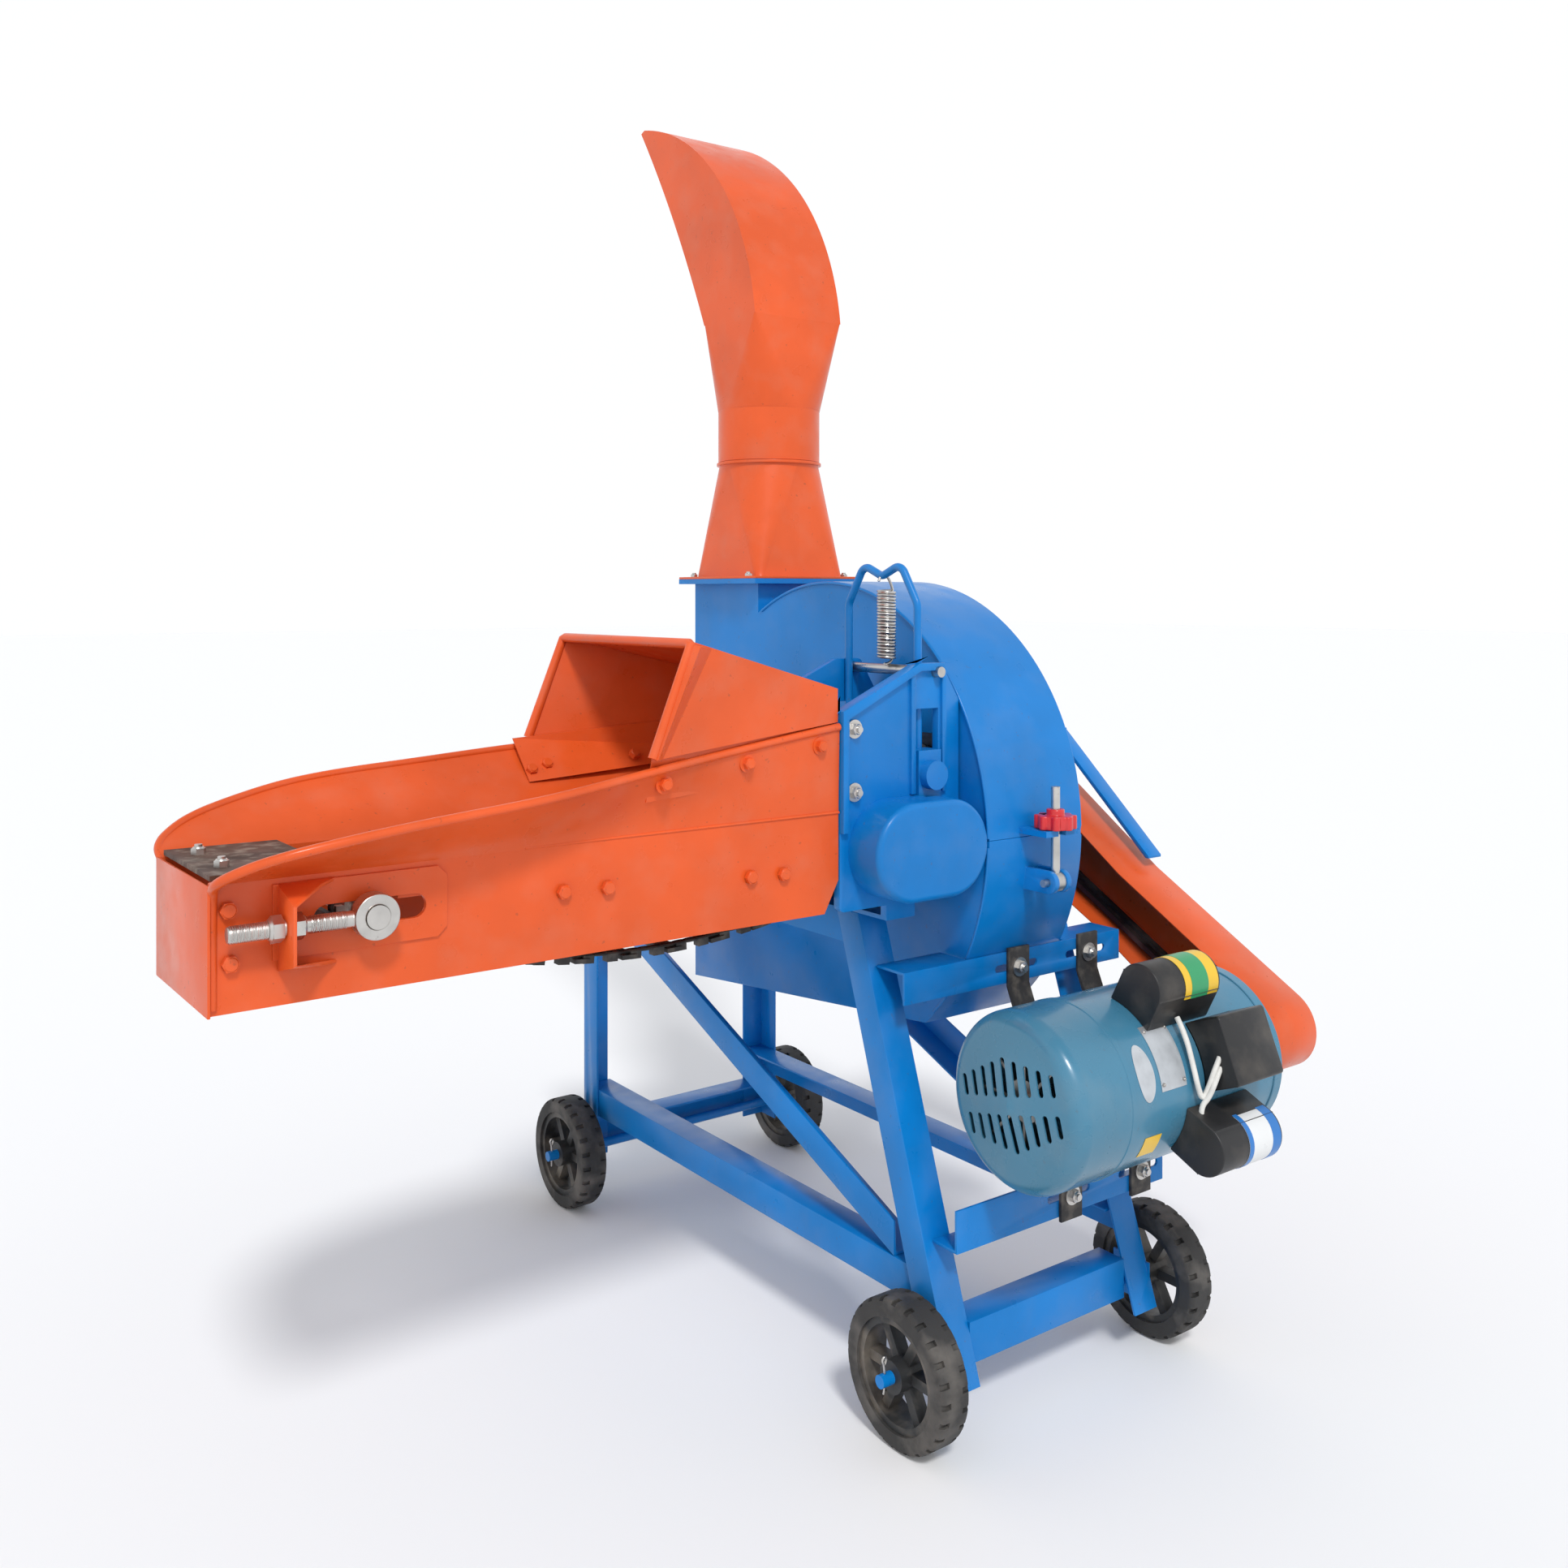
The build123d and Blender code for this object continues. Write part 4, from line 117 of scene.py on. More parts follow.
def finish_of(name, color, rough=(0.3, 0.45), metal=0.0, shade=0.8, patch=7.0, dust=0.0,
              dust_color=(0.45, 0.38, 0.3), grain=500.0, grain_depth=0.00006, wave=0.0,
              coat=0.0, shine=0.5, speck=0.0, speck_color=(0.1, 0.05, 0.03), stretch=(1, 1, 1)):
    """A finish with cloudy colour, dust, specks, uneven gloss, a fine grain and slight dents."""
    mat = bpy.data.materials.new(name)
    mat.use_nodes = True
    tree = mat.node_tree
    bsdf = tree.nodes["Principled BSDF"]
    bsdf.inputs["Metallic"].default_value = metal
    bsdf.inputs["Coat Weight"].default_value = coat
    bsdf.inputs["Coat Roughness"].default_value = 0.12
    bsdf.inputs["Specular IOR Level"].default_value = shine
    clouds = coarse_noise(tree, patch, 6.0, stretch)
    darker = tuple(c * shade for c in color)
    shading = ramp(tree, clouds, "Fac", 0.35, 0.62, darker, color)
    result = shading.outputs["Color"]
    if dust:
        film = coarse_noise(tree, patch * 2.7, 8.0)
        amount = ramp(tree, film, "Fac", 0.48, 0.72, (0, 0, 0), (dust, dust, dust))
        result = blend_color(tree, amount.outputs["Color"], result, dust_color)
    if speck:
        dots = coarse_noise(tree, 160.0, 2.0)
        amount = ramp(tree, dots, "Fac", 0.70, 0.74, (0, 0, 0), (speck, speck, speck))
        result = blend_color(tree, amount.outputs["Color"], result, speck_color)
    tree.links.new(result, bsdf.inputs["Base Color"])
    gloss = tree.nodes.new("ShaderNodeMapRange")
    gloss.inputs["From Min"].default_value = 0.3
    gloss.inputs["From Max"].default_value = 0.7
    gloss.inputs["To Min"].default_value = rough[0]
    gloss.inputs["To Max"].default_value = rough[1]
    smear = coarse_noise(tree, 28.0, 5.0, stretch)
    link(tree, smear, "Fac", gloss, "Value")
    link(tree, gloss, "Result", bsdf, "Roughness")
    peel = tree.nodes.new("ShaderNodeBump")
    peel.inputs["Strength"].default_value = 0.5
    peel.inputs["Distance"].default_value = grain_depth
    link(tree, coarse_noise(tree, grain, 2.0, stretch), "Fac", peel, "Height")
    last = peel
    if wave:
        dents = tree.nodes.new("ShaderNodeBump")
        dents.inputs["Strength"].default_value = 0.35
        dents.inputs["Distance"].default_value = wave
        link(tree, coarse_noise(tree, 9.0, 1.0), "Fac", dents, "Height")
        link(tree, peel, "Normal", dents, "Normal")
        last = dents
    link(tree, last, "Normal", bsdf, "Normal")
    return mat


ORANGE = (0.74, 0.1, 0.018)
BLUE = (0.001, 0.19, 0.56)
FINISHES = {
    "orange_paint": finish_of("orange_paint", ORANGE, (0.26, 0.42), shade=0.86, dust=0.07,
                              wave=0.0012, coat=0.08, shine=0.3, speck=0.3),
    "blue_paint": finish_of("blue_paint", BLUE, (0.26, 0.42), shade=0.82, dust=0.04,
                            wave=0.0008, coat=0.08, shine=0.3, speck=0.25),
    "teal_enamel": finish_of("teal_enamel", (0.05, 0.2, 0.315), (0.22, 0.36), shade=0.86,
                             dust=0.06, coat=0.3, shine=0.4, speck=0.2),
    "black_plastic": finish_of("black_plastic", (0.016, 0.016, 0.017), (0.32, 0.5), shade=0.7,
                               dust=0.1, grain=900),
    "wheel_plastic": finish_of("wheel_plastic", (0.022, 0.023, 0.024), (0.42, 0.62), shade=0.7,
                               dust=0.35, grain=900),
    "tyre_rubber": finish_of("tyre_rubber", (0.032, 0.031, 0.03), (0.62, 0.85), shade=0.7,
                             dust=0.55, dust_color=(0.2, 0.18, 0.16), grain=700,
                             grain_depth=0.0002),
    "zinc_plate": finish_of("zinc_plate", (0.62, 0.6, 0.57), (0.24, 0.42), metal=1.0,
                            shade=0.8, patch=30, speck=0.3, grain=900),
    "dark_steel": finish_of("dark_steel", (0.035, 0.033, 0.033), (0.38, 0.6), metal=0.35,
                            shade=0.7, patch=20, dust=0.2),
    "bare_blade": finish_of("bare_blade", (0.34, 0.34, 0.34), (0.25, 0.4), metal=1.0,
                            shade=0.75, patch=18, grain=700, stretch=(1, 1, 8)),
    "rusty_plate": finish_of("rusty_plate", (0.1, 0.05, 0.032), (0.5, 0.75), metal=0.3,
                             shade=0.5, patch=26, dust=0.4, grain=300, grain_depth=0.0003),
    "cast_grey": finish_of("cast_grey", (0.12, 0.12, 0.12), (0.5, 0.7), metal=0.6, shade=0.75,
                           patch=14, grain=260, grain_depth=0.0004),
    "red_plastic": finish_of("red_plastic", (0.62, 0.012, 0.016), (0.25, 0.4), shade=0.85,
                             coat=0.3, dust=0.08),
    "white_sleeve": finish_of("white_sleeve", (0.72, 0.71, 0.67), (0.5, 0.7), shade=0.85,
                              patch=60, grain=1400, grain_depth=0.0002),
    "belt_rubber": finish_of("belt_rubber", (0.014, 0.014, 0.015), (0.55, 0.75), shade=0.7,
                             dust=0.2, grain=800),
    "plate_silver": finish_of("plate_silver", (0.6, 0.63, 0.66), (0.25, 0.4), metal=0.7,
                              shade=0.86, patch=50),
    "film_yellow": finish_of("film_yellow", (0.8, 0.5, 0.03), (0.25, 0.4), shade=0.9),
    "film_green": finish_of("film_green", (0.03, 0.33, 0.13), (0.25, 0.4), shade=0.85),
    "film_blue": finish_of("film_blue", (0.02, 0.17, 0.5), (0.25, 0.4), shade=0.85),
    "film_white": finish_of("film_white", (0.72, 0.73, 0.73), (0.25, 0.4), shade=0.9),
}

FINISH_OF_NODE = {
    "orange_paint": "table_wall_near table_wall_far table_bed throat_hood takeup_brackets "
                    "outlet_cone spout belt_guard",
    "blue_paint": "legs base_rails braces motor_bars drum_supports axles drum_casing drum_cover "
                  "feed_plates gear_cover roller_yoke pillow_blocks bearing_bed",
    "teal_enamel": "motor_body fan_cover",
    "black_plastic": "terminal_box capacitor_covers",
    "wheel_plastic": "rim_near_left rim_near_right rim_far_left rim_far_right",
    "tyre_rubber": "tyre_near_left tyre_near_right tyre_far_left tyre_far_right",
    "zinc_plate": "takeup_eyes swing_bolt fasteners pressure_spring head_shaft tail_shaft "
                  "main_shaft motor_shaft pivot_pins",
    "dark_steel": "motor_straps conveyor_chains conveyor_slats knife_disc paddles",
    "bare_blade": "knives",
    "rusty_plate": "tail_cover_plate",
    "cast_grey": "lower_roller upper_roller roller_gears upper_roller_gear idler_gear "
                 "bevel_pinion main_pulley motor_pulley",
    "red_plastic": "star_knob",
    "white_sleeve": "motor_leads",
    "belt_rubber": "belts",
}
NODE_FINISH = {n: f for f, names in FINISH_OF_NODE.items() for n in names.split()}
# body that each CAD node rides on, from the record
BODY_OF_NODE = {n: b for b, ns in frame["record"]["behaviour"]["bodies"].items() for n in ns}

for node_name, obj in NODES.items():
    obj.data.materials.clear()
    obj.data.materials.append(FINISHES[NODE_FINISH[node_name]])


# ---- making pieces ----------------------------------------------------------------------
def smooth_by_angle(mesh, degrees=32.0):
    """Smooth faces with sharp edges kept where they fold by more than the angle."""
    work = bmesh.new()
    work.from_mesh(mesh)
    limit = math.radians(degrees)
    for face in work.faces:
        face.smooth = True
    for edge in work.edges:
        edge.smooth = len(edge.link_faces) == 2 and edge.calc_face_angle(0.0) < limit
    work.to_mesh(mesh)
    work.free()


def add_piece(name, mesh, finish, body, stands_for=()):
    """Links a finished mesh as a piece that rides on a body, or on none yet if body is None."""
    mesh.materials.clear()
    mesh.materials.append(FINISHES[finish])
    smooth_by_angle(mesh)
    piece = bpy.data.objects.new(name, mesh)
    bpy.context.scene.collection.objects.link(piece)
    if body:
        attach(piece, body)
    if stands_for:
        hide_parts(*stands_for)
    return piece


def baked_mesh(obj, name):
    """Plain mesh of an object with its modifiers, which is then removed."""
    bpy.context.view_layer.update()
    graph = bpy.context.evaluated_depsgraph_get()
    mesh = bpy.data.meshes.new_from_object(obj.evaluated_get(graph))
    mesh.name = name
    mesh.transform(obj.matrix_world)
    bpy.data.objects.remove(obj)
    return mesh


def mesh_of(work, name):
    """Mesh of a bmesh, which is then freed."""
    mesh = bpy.data.meshes.new(name)
    work.to_mesh(mesh)
    work.free()
    return mesh


def thickened(mesh, name, thickness, edge=0.0):
    """Closed sheet of a thickness in millimetres about a surface, its edges rolled if asked."""
    obj = bpy.data.objects.new(name, mesh)
    bpy.context.scene.collection.objects.link(obj)
    thick = obj.modifiers.new("thick", "SOLIDIFY")
    thick.thickness = thickness * MM
    thick.offset = 0.0
    if edge:
        rolled = obj.modifiers.new("edge", "BEVEL")
        rolled.width = edge * MM
        rolled.segments = 2
    return baked_mesh(obj, name)


def softened(node_name, width, segments):
    """Copy of a CAD node with its corners rounded over, standing for that node."""
    work = bmesh.new()
    work.from_mesh(NODES[node_name].data)
    bmesh.ops.remove_doubles(work, verts=work.verts, dist=2e-5)
    bmesh.ops.dissolve_limit(work, angle_limit=math.radians(0.8), verts=work.verts,
                             edges=work.edges)
    obj = bpy.data.objects.new(node_name + "_soft", mesh_of(work, node_name + "_soft"))
    bpy.context.scene.collection.objects.link(obj)
    edge = obj.modifiers.new("edge", "BEVEL")
    edge.width = width * MM
    edge.segments = segments
    edge.limit_method = "ANGLE"
    edge.angle_limit = math.radians(40)
    edge.use_clamp_overlap = False
    baked = baked_mesh(obj, node_name + "_soft")
    return add_piece(node_name + "_soft", baked, NODE_FINISH[node_name],
                     BODY_OF_NODE[node_name], [node_name])


def rod(name, points, radius, finish, body, stands_for=(), smooth=True, sides=6):
    """Round bar along points in metres; smooth bars follow them as control points."""
    data = bpy.data.curves.new(name, "CURVE")
    data.dimensions = "3D"
    data.bevel_depth = radius * MM
    data.bevel_resolution = sides
    data.use_fill_caps = True
    spline = data.splines.new("NURBS" if smooth else "POLY")
    spline.points.add(len(points) - 1)
    for slot, point in zip(spline.points, points):
        slot.co = (*point, 1.0)
    if smooth:
        spline.order_u = 3
        spline.use_endpoint_u = True
        spline.resolution_u = 10
    obj = bpy.data.objects.new(name, data)
    bpy.context.scene.collection.objects.link(obj)
    return add_piece(name, baked_mesh(obj, name), finish, body, stands_for)


def profile_plate(name, outlines, thickness, frame_matrix, edge=0.4):
    """Mesh of a flat plate with holes: outlines in mm, outer first, edges rolled over."""
    data = bpy.data.curves.new(name, "CURVE")
    data.dimensions = "2D"
    data.fill_mode = "BOTH"
    data.extrude = (thickness / 2 - edge) * MM
    data.bevel_depth = edge * MM
    data.bevel_resolution = 1
    data.offset = -edge * MM
    for outline in outlines:
        spline = data.splines.new("POLY")
        spline.points.add(len(outline) - 1)
        for slot, (a, b) in zip(spline.points, outline):
            slot.co = (a * MM, b * MM, 0, 1)
        spline.use_cyclic_u = True
    obj = bpy.data.objects.new(name, data)
    bpy.context.scene.collection.objects.link(obj)
    mesh = baked_mesh(obj, name)
    mesh.transform(frame_matrix)
    return mesh


def facing_near(y):
    """Matrix that stands a flat plate in X and Z at a given Y."""
    return (Matrix.Translation((BASE.x * MM, (BASE.y + y) * MM, 0))
            @ Matrix.Rotation(math.radians(90), 4, "X"))


def merged(name, meshes):
    """One mesh of several."""
    work = bmesh.new()
    for mesh in meshes:
        work.from_mesh(mesh)
    return mesh_of(work, name)


# ---- geometry node trees ----------------------------------------------------------------
def new_tree(name, sizes):
    """Geometry tree with a named input for each size; returns the tree and its input node."""
    tree = bpy.data.node_groups.new(name, "GeometryNodeTree")
    tree.interface.new_socket("Geometry", in_out="INPUT", socket_type="NodeSocketGeometry")
    for label, kind in sizes:
        tree.interface.new_socket(label, in_out="INPUT", socket_type="NodeSocket" + kind)
    tree.interface.new_socket("Geometry", in_out="OUTPUT", socket_type="NodeSocketGeometry")
    return tree, tree.nodes.new("NodeGroupInput")


def put(tree, kind, settings=None, **sockets):
    """Adds a node; a socket given as (node, output) is linked, any other value is set."""
    made = tree.nodes.new(kind)
    for key, value in (settings or {}).items():
        setattr(made, key, value)
    for key, value in sockets.items():
        target = made.inputs[key.replace("_", " ")]
        if isinstance(value, tuple) and hasattr(value[0], "outputs"):
            tree.links.new(value[0].outputs[value[1]], target)
        else:
            target.default_value = value
    return made


def times(tree, source, output, share):
    """Node that multiplies an output by a share."""
    made = put(tree, "ShaderNodeMath", {"operation": "MULTIPLY"})
    tree.links.new(source.outputs[output], made.inputs[0])
    made.inputs[1].default_value = share
    return made


def raised(tree, shape, sizes, share):
    """Node that lifts a shape by a share of the Height input."""
    offset = put(tree, "ShaderNodeCombineXYZ", Z=(times(tree, sizes, "Height", share), 0))
    return put(tree, "GeometryNodeTransform", Geometry=(shape, "Mesh"), Translation=(offset, 0))


def close_tree(tree, last, finish):
    """Ends a tree with real geometry in a finish."""
    real = put(tree, "GeometryNodeRealizeInstances", Geometry=(last, 0))
    dressed = put(tree, "GeometryNodeSetMaterial", Geometry=(real, 0))
    dressed.inputs["Material"].default_value = FINISHES[finish]
    end = tree.nodes.new("NodeGroupOutput")
    tree.links.new(dressed.outputs[0], end.inputs[0])


def grown(name, tree, mesh, sizes):
    """Plain mesh that a tree makes on a mesh with the given sizes, in metres."""
    obj = bpy.data.objects.new(name, mesh)
    bpy.context.scene.collection.objects.link(obj)
    modifier = obj.modifiers.new("grow", "NODES")
    modifier.node_group = tree
    for item in tree.interface.items_tree:
        if item.in_out == "INPUT" and item.name in sizes:
            modifier[item.identifier] = sizes[item.name]
    return baked_mesh(obj, name)


def point_mesh(points, ring=False):
    """Mesh of loose points, or of one closed ring of edges through them."""
    mesh = bpy.data.meshes.new("points")
    links = [(i, (i + 1) % len(points)) for i in range(len(points))] if ring else []
    mesh.from_pydata([tuple(p) for p in points], links, [])
    return mesh


def bolt_tree(finish, stud):
    """Hexagon head on a washer, with a chamfered top and a stud end through it if asked."""
    tree, sizes = new_tree("bolts_" + finish, (("Facing", "Vector"), ("Head", "Float"),
                                               ("Height", "Float"), ("Washer", "Float")))
    thin = times(tree, sizes, "Height", 0.25)
    washer = put(tree, "GeometryNodeMeshCylinder", Vertices=28, Radius=(sizes, "Washer"),
                 Depth=(thin, 0))
    head = put(tree, "GeometryNodeMeshCylinder", Vertices=6, Radius=(sizes, "Head"),
               Depth=(times(tree, sizes, "Height", 0.8), 0))
    cap = put(tree, "GeometryNodeMeshCone", Vertices=28, Depth=(thin, 0),
              Radius_Bottom=(times(tree, sizes, "Head", 0.88), 0),
              Radius_Top=(times(tree, sizes, "Head", 0.7), 0))
    lifts = [raised(tree, made, sizes, share)
             for made, share in ((washer, 0.12), (head, 0.6), (cap, 0.95))]
    if stud:
        end = put(tree, "GeometryNodeMeshCylinder", Vertices=16, Depth=(sizes, "Height"),
                  Radius=(times(tree, sizes, "Head", 0.52), 0))
        lifts.append(raised(tree, end, sizes, 1.0))
    whole = tree.nodes.new("GeometryNodeJoinGeometry")
    for lift in lifts:
        tree.links.new(lift.outputs[0], whole.inputs[0])
    turn = put(tree, "FunctionNodeAlignRotationToVector", {"axis": "Z"},
               Vector=(sizes, "Facing"))
    dots = put(tree, "GeometryNodeInstanceOnPoints", Points=(sizes, "Geometry"),
               Instance=(whole, 0), Rotation=(turn, 0))
    close_tree(tree, dots, finish)
    return tree


def coil_tree(finish):
    """Wire wound in a helix about Z from the origin."""
    tree, sizes = new_tree("coil_" + finish, (("Turns", "Float"), ("Radius", "Float"),
                                              ("Length", "Float"), ("Wire", "Float")))
    helix = put(tree, "GeometryNodeCurveSpiral", Resolution=20, Rotations=(sizes, "Turns"),
                Start_Radius=(sizes, "Radius"), End_Radius=(sizes, "Radius"),
                Height=(sizes, "Length"))
    section = put(tree, "GeometryNodeCurvePrimitiveCircle", Resolution=8,
                  Radius=(sizes, "Wire"))
    wire = put(tree, "GeometryNodeCurveToMesh", Curve=(helix, 0), Profile_Curve=(section, 0),
               Fill_Caps=True)
    close_tree(tree, wire, finish)
    return tree


def along_tree(name, finish, links):
    """Repeats chain links, or plain boxes, along a closed path and turns them to follow it."""
    tree, sizes = new_tree(name, (("Pitch", "Float"), ("Size", "Vector"), ("Wire", "Float")))
    path = put(tree, "GeometryNodeMeshToCurve", Mesh=(sizes, "Geometry"))
    spaced = put(tree, "GeometryNodeResampleCurve", {"mode": "LENGTH"}, Curve=(path, 0),
                 Length=(sizes, "Pitch"))
    if not links:
        shape = put(tree, "GeometryNodeMeshCube", Size=(sizes, "Size"))
    else:
        ring = put(tree, "GeometryNodeCurvePrimitiveCircle", Resolution=10, Radius=0.5)
        oval = put(tree, "GeometryNodeTransform", Geometry=(ring, 0), Scale=(sizes, "Size"))
        section = put(tree, "GeometryNodeCurvePrimitiveCircle", Resolution=6,
                      Radius=(sizes, "Wire"))
        shape = put(tree, "GeometryNodeCurveToMesh", Curve=(oval, 0), Profile_Curve=(section, 0))
    tangent = tree.nodes.new("GeometryNodeInputTangent")
    across = put(tree, "FunctionNodeAlignRotationToVector", {"axis": "X"}, Vector=(tangent, 0))
    dots = put(tree, "GeometryNodeInstanceOnPoints", Points=(spaced, 0), Instance=(shape, 0),
               Rotation=(across, 0))
    close_tree(tree, dots, finish)
    return tree


BOLTS_ORANGE = bolt_tree("orange_paint", False)
BOLTS_ZINC = bolt_tree("zinc_plate", True)
COIL = coil_tree("zinc_plate")


def bolts(name, rows, tree, finish, body, stands_for=()):
    """One piece with every bolt of a body; rows are (facing, head, height, washer, points)."""
    meshes = []
    for facing, head, height, washer, points in rows:
        sizes = {"Facing": facing, "Head": head * MM, "Height": height * MM,
                 "Washer": washer * MM}
        meshes.append(grown(name, tree, point_mesh([place(*p) for p in points]), sizes))
    return add_piece(name, merged(name, meshes), finish, body, stands_for)


# ---- frame, drum and cast parts: corners rounded over -----------------------------------
for node_name in ("legs", "base_rails", "braces", "motor_bars", "feed_plates", "drum_casing",
                  "drum_supports", "bearing_bed", "motor_straps", "outlet_cone", "belt_guard"):
    softened(node_name, 0.9, 2)
for node_name in ("terminal_box", "capacitor_covers", "star_knob", "takeup_eyes", "pillow_blocks"):
    softened(node_name, 1.6, 3)

# ---- feed table -------------------------------------------------------------------------
THROAT_Y = (-338.0, -181.0)
WALL_NEAR, WALL_FAR = -350.0, -169.0
TABLE_X0, WALL_END = -1027.0, -269.0
TABLE_Z0, CREASE_Z = 642.0, 766.0
SHEET = 3.0
LIP_R = 5.0
# stations along the table: x, near lip height and overhang, far lip height and overhang
LIP = ((-1027.0, 773.0, 30.0, 776.0, 24.0), (-1005.0, 786.0, 48.0, 791.0, 40.0),
       (-960.0, 800.0, 70.0, 806.0, 58.0), (-860.0, 814.0, 76.0, 826.0, 76.0),
       (-700.0, 826.0, 58.0, 838.0, 84.0), (-560.0, 842.0, 36.0, 848.0, 80.0),
       (-400.0, 860.0, 14.0, 862.0, 36.0), (WALL_END, 874.0, 2.0, 874.0, 2.0))
LIP_STEPS = 60
FLARE_RUNGS = 8
FLARE_STRAIGHT = 0.35         # share of the overhang that grows evenly with height
FLARE_POWER = 0.9


def lip_at(x):
    """Lip height and overhang, near then far, at x; smooth between the stations."""
    last = len(LIP) - 1
    k = next((i for i in range(last) if x <= LIP[i + 1][0]), last - 1)
    a, b = LIP[k], LIP[k + 1]
    run = b[0] - a[0]
    t = (x - a[0]) / run

    def slope(i, column):
        low, high = LIP[max(i - 1, 0)], LIP[min(i + 1, last)]
        return (high[column] - low[column]) / (high[0] - low[0])

    return [(2 * t**3 - 3 * t**2 + 1) * a[column] + (3 * t**2 - 2 * t**3) * b[column]
            + ((t**3 - 2 * t**2 + t) * slope(k, column) + (t**3 - t**2) * slope(k + 1, column)) * run
            for column in range(1, len(a))]


def lip_stations(column, every=1):
    """X, lip height and overhang of one wall's lip, from the tail to the head."""
    for step in range(0, LIP_STEPS + 1, every):
        x = TABLE_X0 + (WALL_END - TABLE_X0) * step / LIP_STEPS
        yield (x, *lip_at(x)[column:column + 2])


def flare_sheet(wall_y, side, column):
    """Upper part of a table wall, flared out from its crease to its lip."""
    work = bmesh.new()
    rows = []
    for x, lip_z, out in lip_stations(column):
        row = []
        for rung in range(FLARE_RUNGS + 1):
            share = rung / FLARE_RUNGS
            bulge = math.sin(share * math.pi / 2) ** FLARE_POWER
            reach = out * share * (FLARE_STRAIGHT + (1 - FLARE_STRAIGHT) * bulge)
            row.append(work.verts.new(place(x, wall_y + side * (reach - SHEET / 2),
                                            CREASE_Z + (lip_z - CREASE_Z) * share)))
        rows.append(row)
    for low, high in zip(rows[:-1], rows[1:]):
        for rung in range(FLARE_RUNGS):
            face = (low[rung], high[rung], high[rung + 1], low[rung + 1])
            work.faces.new(face if side < 0 else face[::-1])
    return thickened(mesh_of(work, "flare"), "flare", SHEET)


def slot_outline(x0, x1, z, radius, steps=10):
    """Outline of a slot with round ends."""
    points = []
    for centre, start in ((x1 - radius, -90), (x0 + radius, 90)):
        for k in range(steps + 1):
            turn = math.radians(start + 180 * k / steps)
            points.append((centre + radius * math.cos(turn), z + radius * math.sin(turn)))
    return points


TAIL_Z = 722.0
SLOT_X0, SLOT_X1 = -929.0, -813.0
SLOT_R = 12.5
CREASE_X = -700.0             # where the crease below the flare starts to show
CREASE_R = 1.8
for label, wall_y, side, column in (("near", WALL_NEAR, -1, 0), ("far", WALL_FAR, 1, 2)):
    outline = [(TABLE_X0, TABLE_Z0), (WALL_END - 22, TABLE_Z0), (WALL_END, TABLE_Z0 + 40),
               (WALL_END, CREASE_Z + 1), (TABLE_X0, CREASE_Z + 1)]
    lower = profile_plate("lower", [outline, slot_outline(SLOT_X0, SLOT_X1, TAIL_Z, SLOT_R)],
                          SHEET, facing_near(wall_y - side * SHEET / 2))
    flare = flare_sheet(wall_y, side, column)
    add_piece(f"table_wall_{label}_sheet", merged("wall", [lower, flare]), "orange_paint",
              "machine", [f"table_wall_{label}"])
    lip_points = [place(x, wall_y + side * (out - SHEET / 2), lip_z)
                  for x, lip_z, out in lip_stations(column, 2)]
    down = [place(TABLE_X0 + 3, wall_y - side * 1.0, z) for z in (TABLE_Z0 + 6, 700, CREASE_Z - 6)]
    rod(f"table_lip_{label}", down + lip_points, LIP_R, "orange_paint", "machine")
    rod(f"table_crease_{label}", [place(CREASE_X, wall_y - side * 0.6, CREASE_Z + 1),
                                  place(WALL_END, wall_y + side * 0.4, CREASE_Z + 1)],
        CREASE_R, "orange_paint", "machine", smooth=False)

# doubler plate round the slot of the take-up
doubler = profile_plate("slot_doubler", [
    [(-968, 687), (-800, 687), (-790, 697), (-790, 750), (-800, 760), (-968, 760)],
    slot_outline(SLOT_X0, SLOT_X1, TAIL_Z, SLOT_R)], SHEET, facing_near(WALL_NEAR - 1.6))
add_piece("slot_doubler", doubler, "orange_paint", "machine")

# folded brackets of the take-up
BRACKET_X = -962.0
BRACKET_T = 4.0
BRACKET_OUT = 52.0            # outer edge from the table wall
BRACKET_TOE = -905.0          # ends of its folds on the wall
# top and bottom of a bracket: height at its outer edge, at its foot and at the tip of its fold
BRACKET_EDGES = ((746, 759, 756), (690, 677, 680))
EYE_Y = (-374.0, -145.0)      # middle of each eye bolt


def bracket_sheet(wall_y, side):
    """Upright sheet of a bracket with a fold at its top and its bottom."""
    outer = wall_y + side * BRACKET_OUT
    foot = wall_y + side * 0.5
    tip = wall_y + side * 14
    top, bottom = BRACKET_EDGES
    outlines = [[(BRACKET_X, outer, bottom[0]), (BRACKET_X, outer, top[0]),
                 (BRACKET_X, foot, top[1]), (BRACKET_X, foot, bottom[1])]]
    for outer_z, foot_z, tip_z in BRACKET_EDGES:
        outlines.append([(BRACKET_X, outer, outer_z), (BRACKET_X, foot, foot_z),
                         (BRACKET_TOE, foot, foot_z), (BRACKET_TOE - 20, tip, tip_z)])
    work = bmesh.new()
    for outline in outlines:
        work.faces.new([work.verts.new(place(*point)) for point in outline])
    bmesh.ops.remove_doubles(work, verts=work.verts, dist=1e-5)
    bmesh.ops.recalc_face_normals(work, faces=work.faces)
    return thickened(mesh_of(work, "bracket"), "bracket", BRACKET_T, 1.0)


bracket_sheets = [bracket_sheet(WALL_NEAR, -1), bracket_sheet(WALL_FAR, 1)]
add_piece("takeup_bracket_sheets", merged("brackets", bracket_sheets), "orange_paint", "machine",
          ["takeup_brackets"])

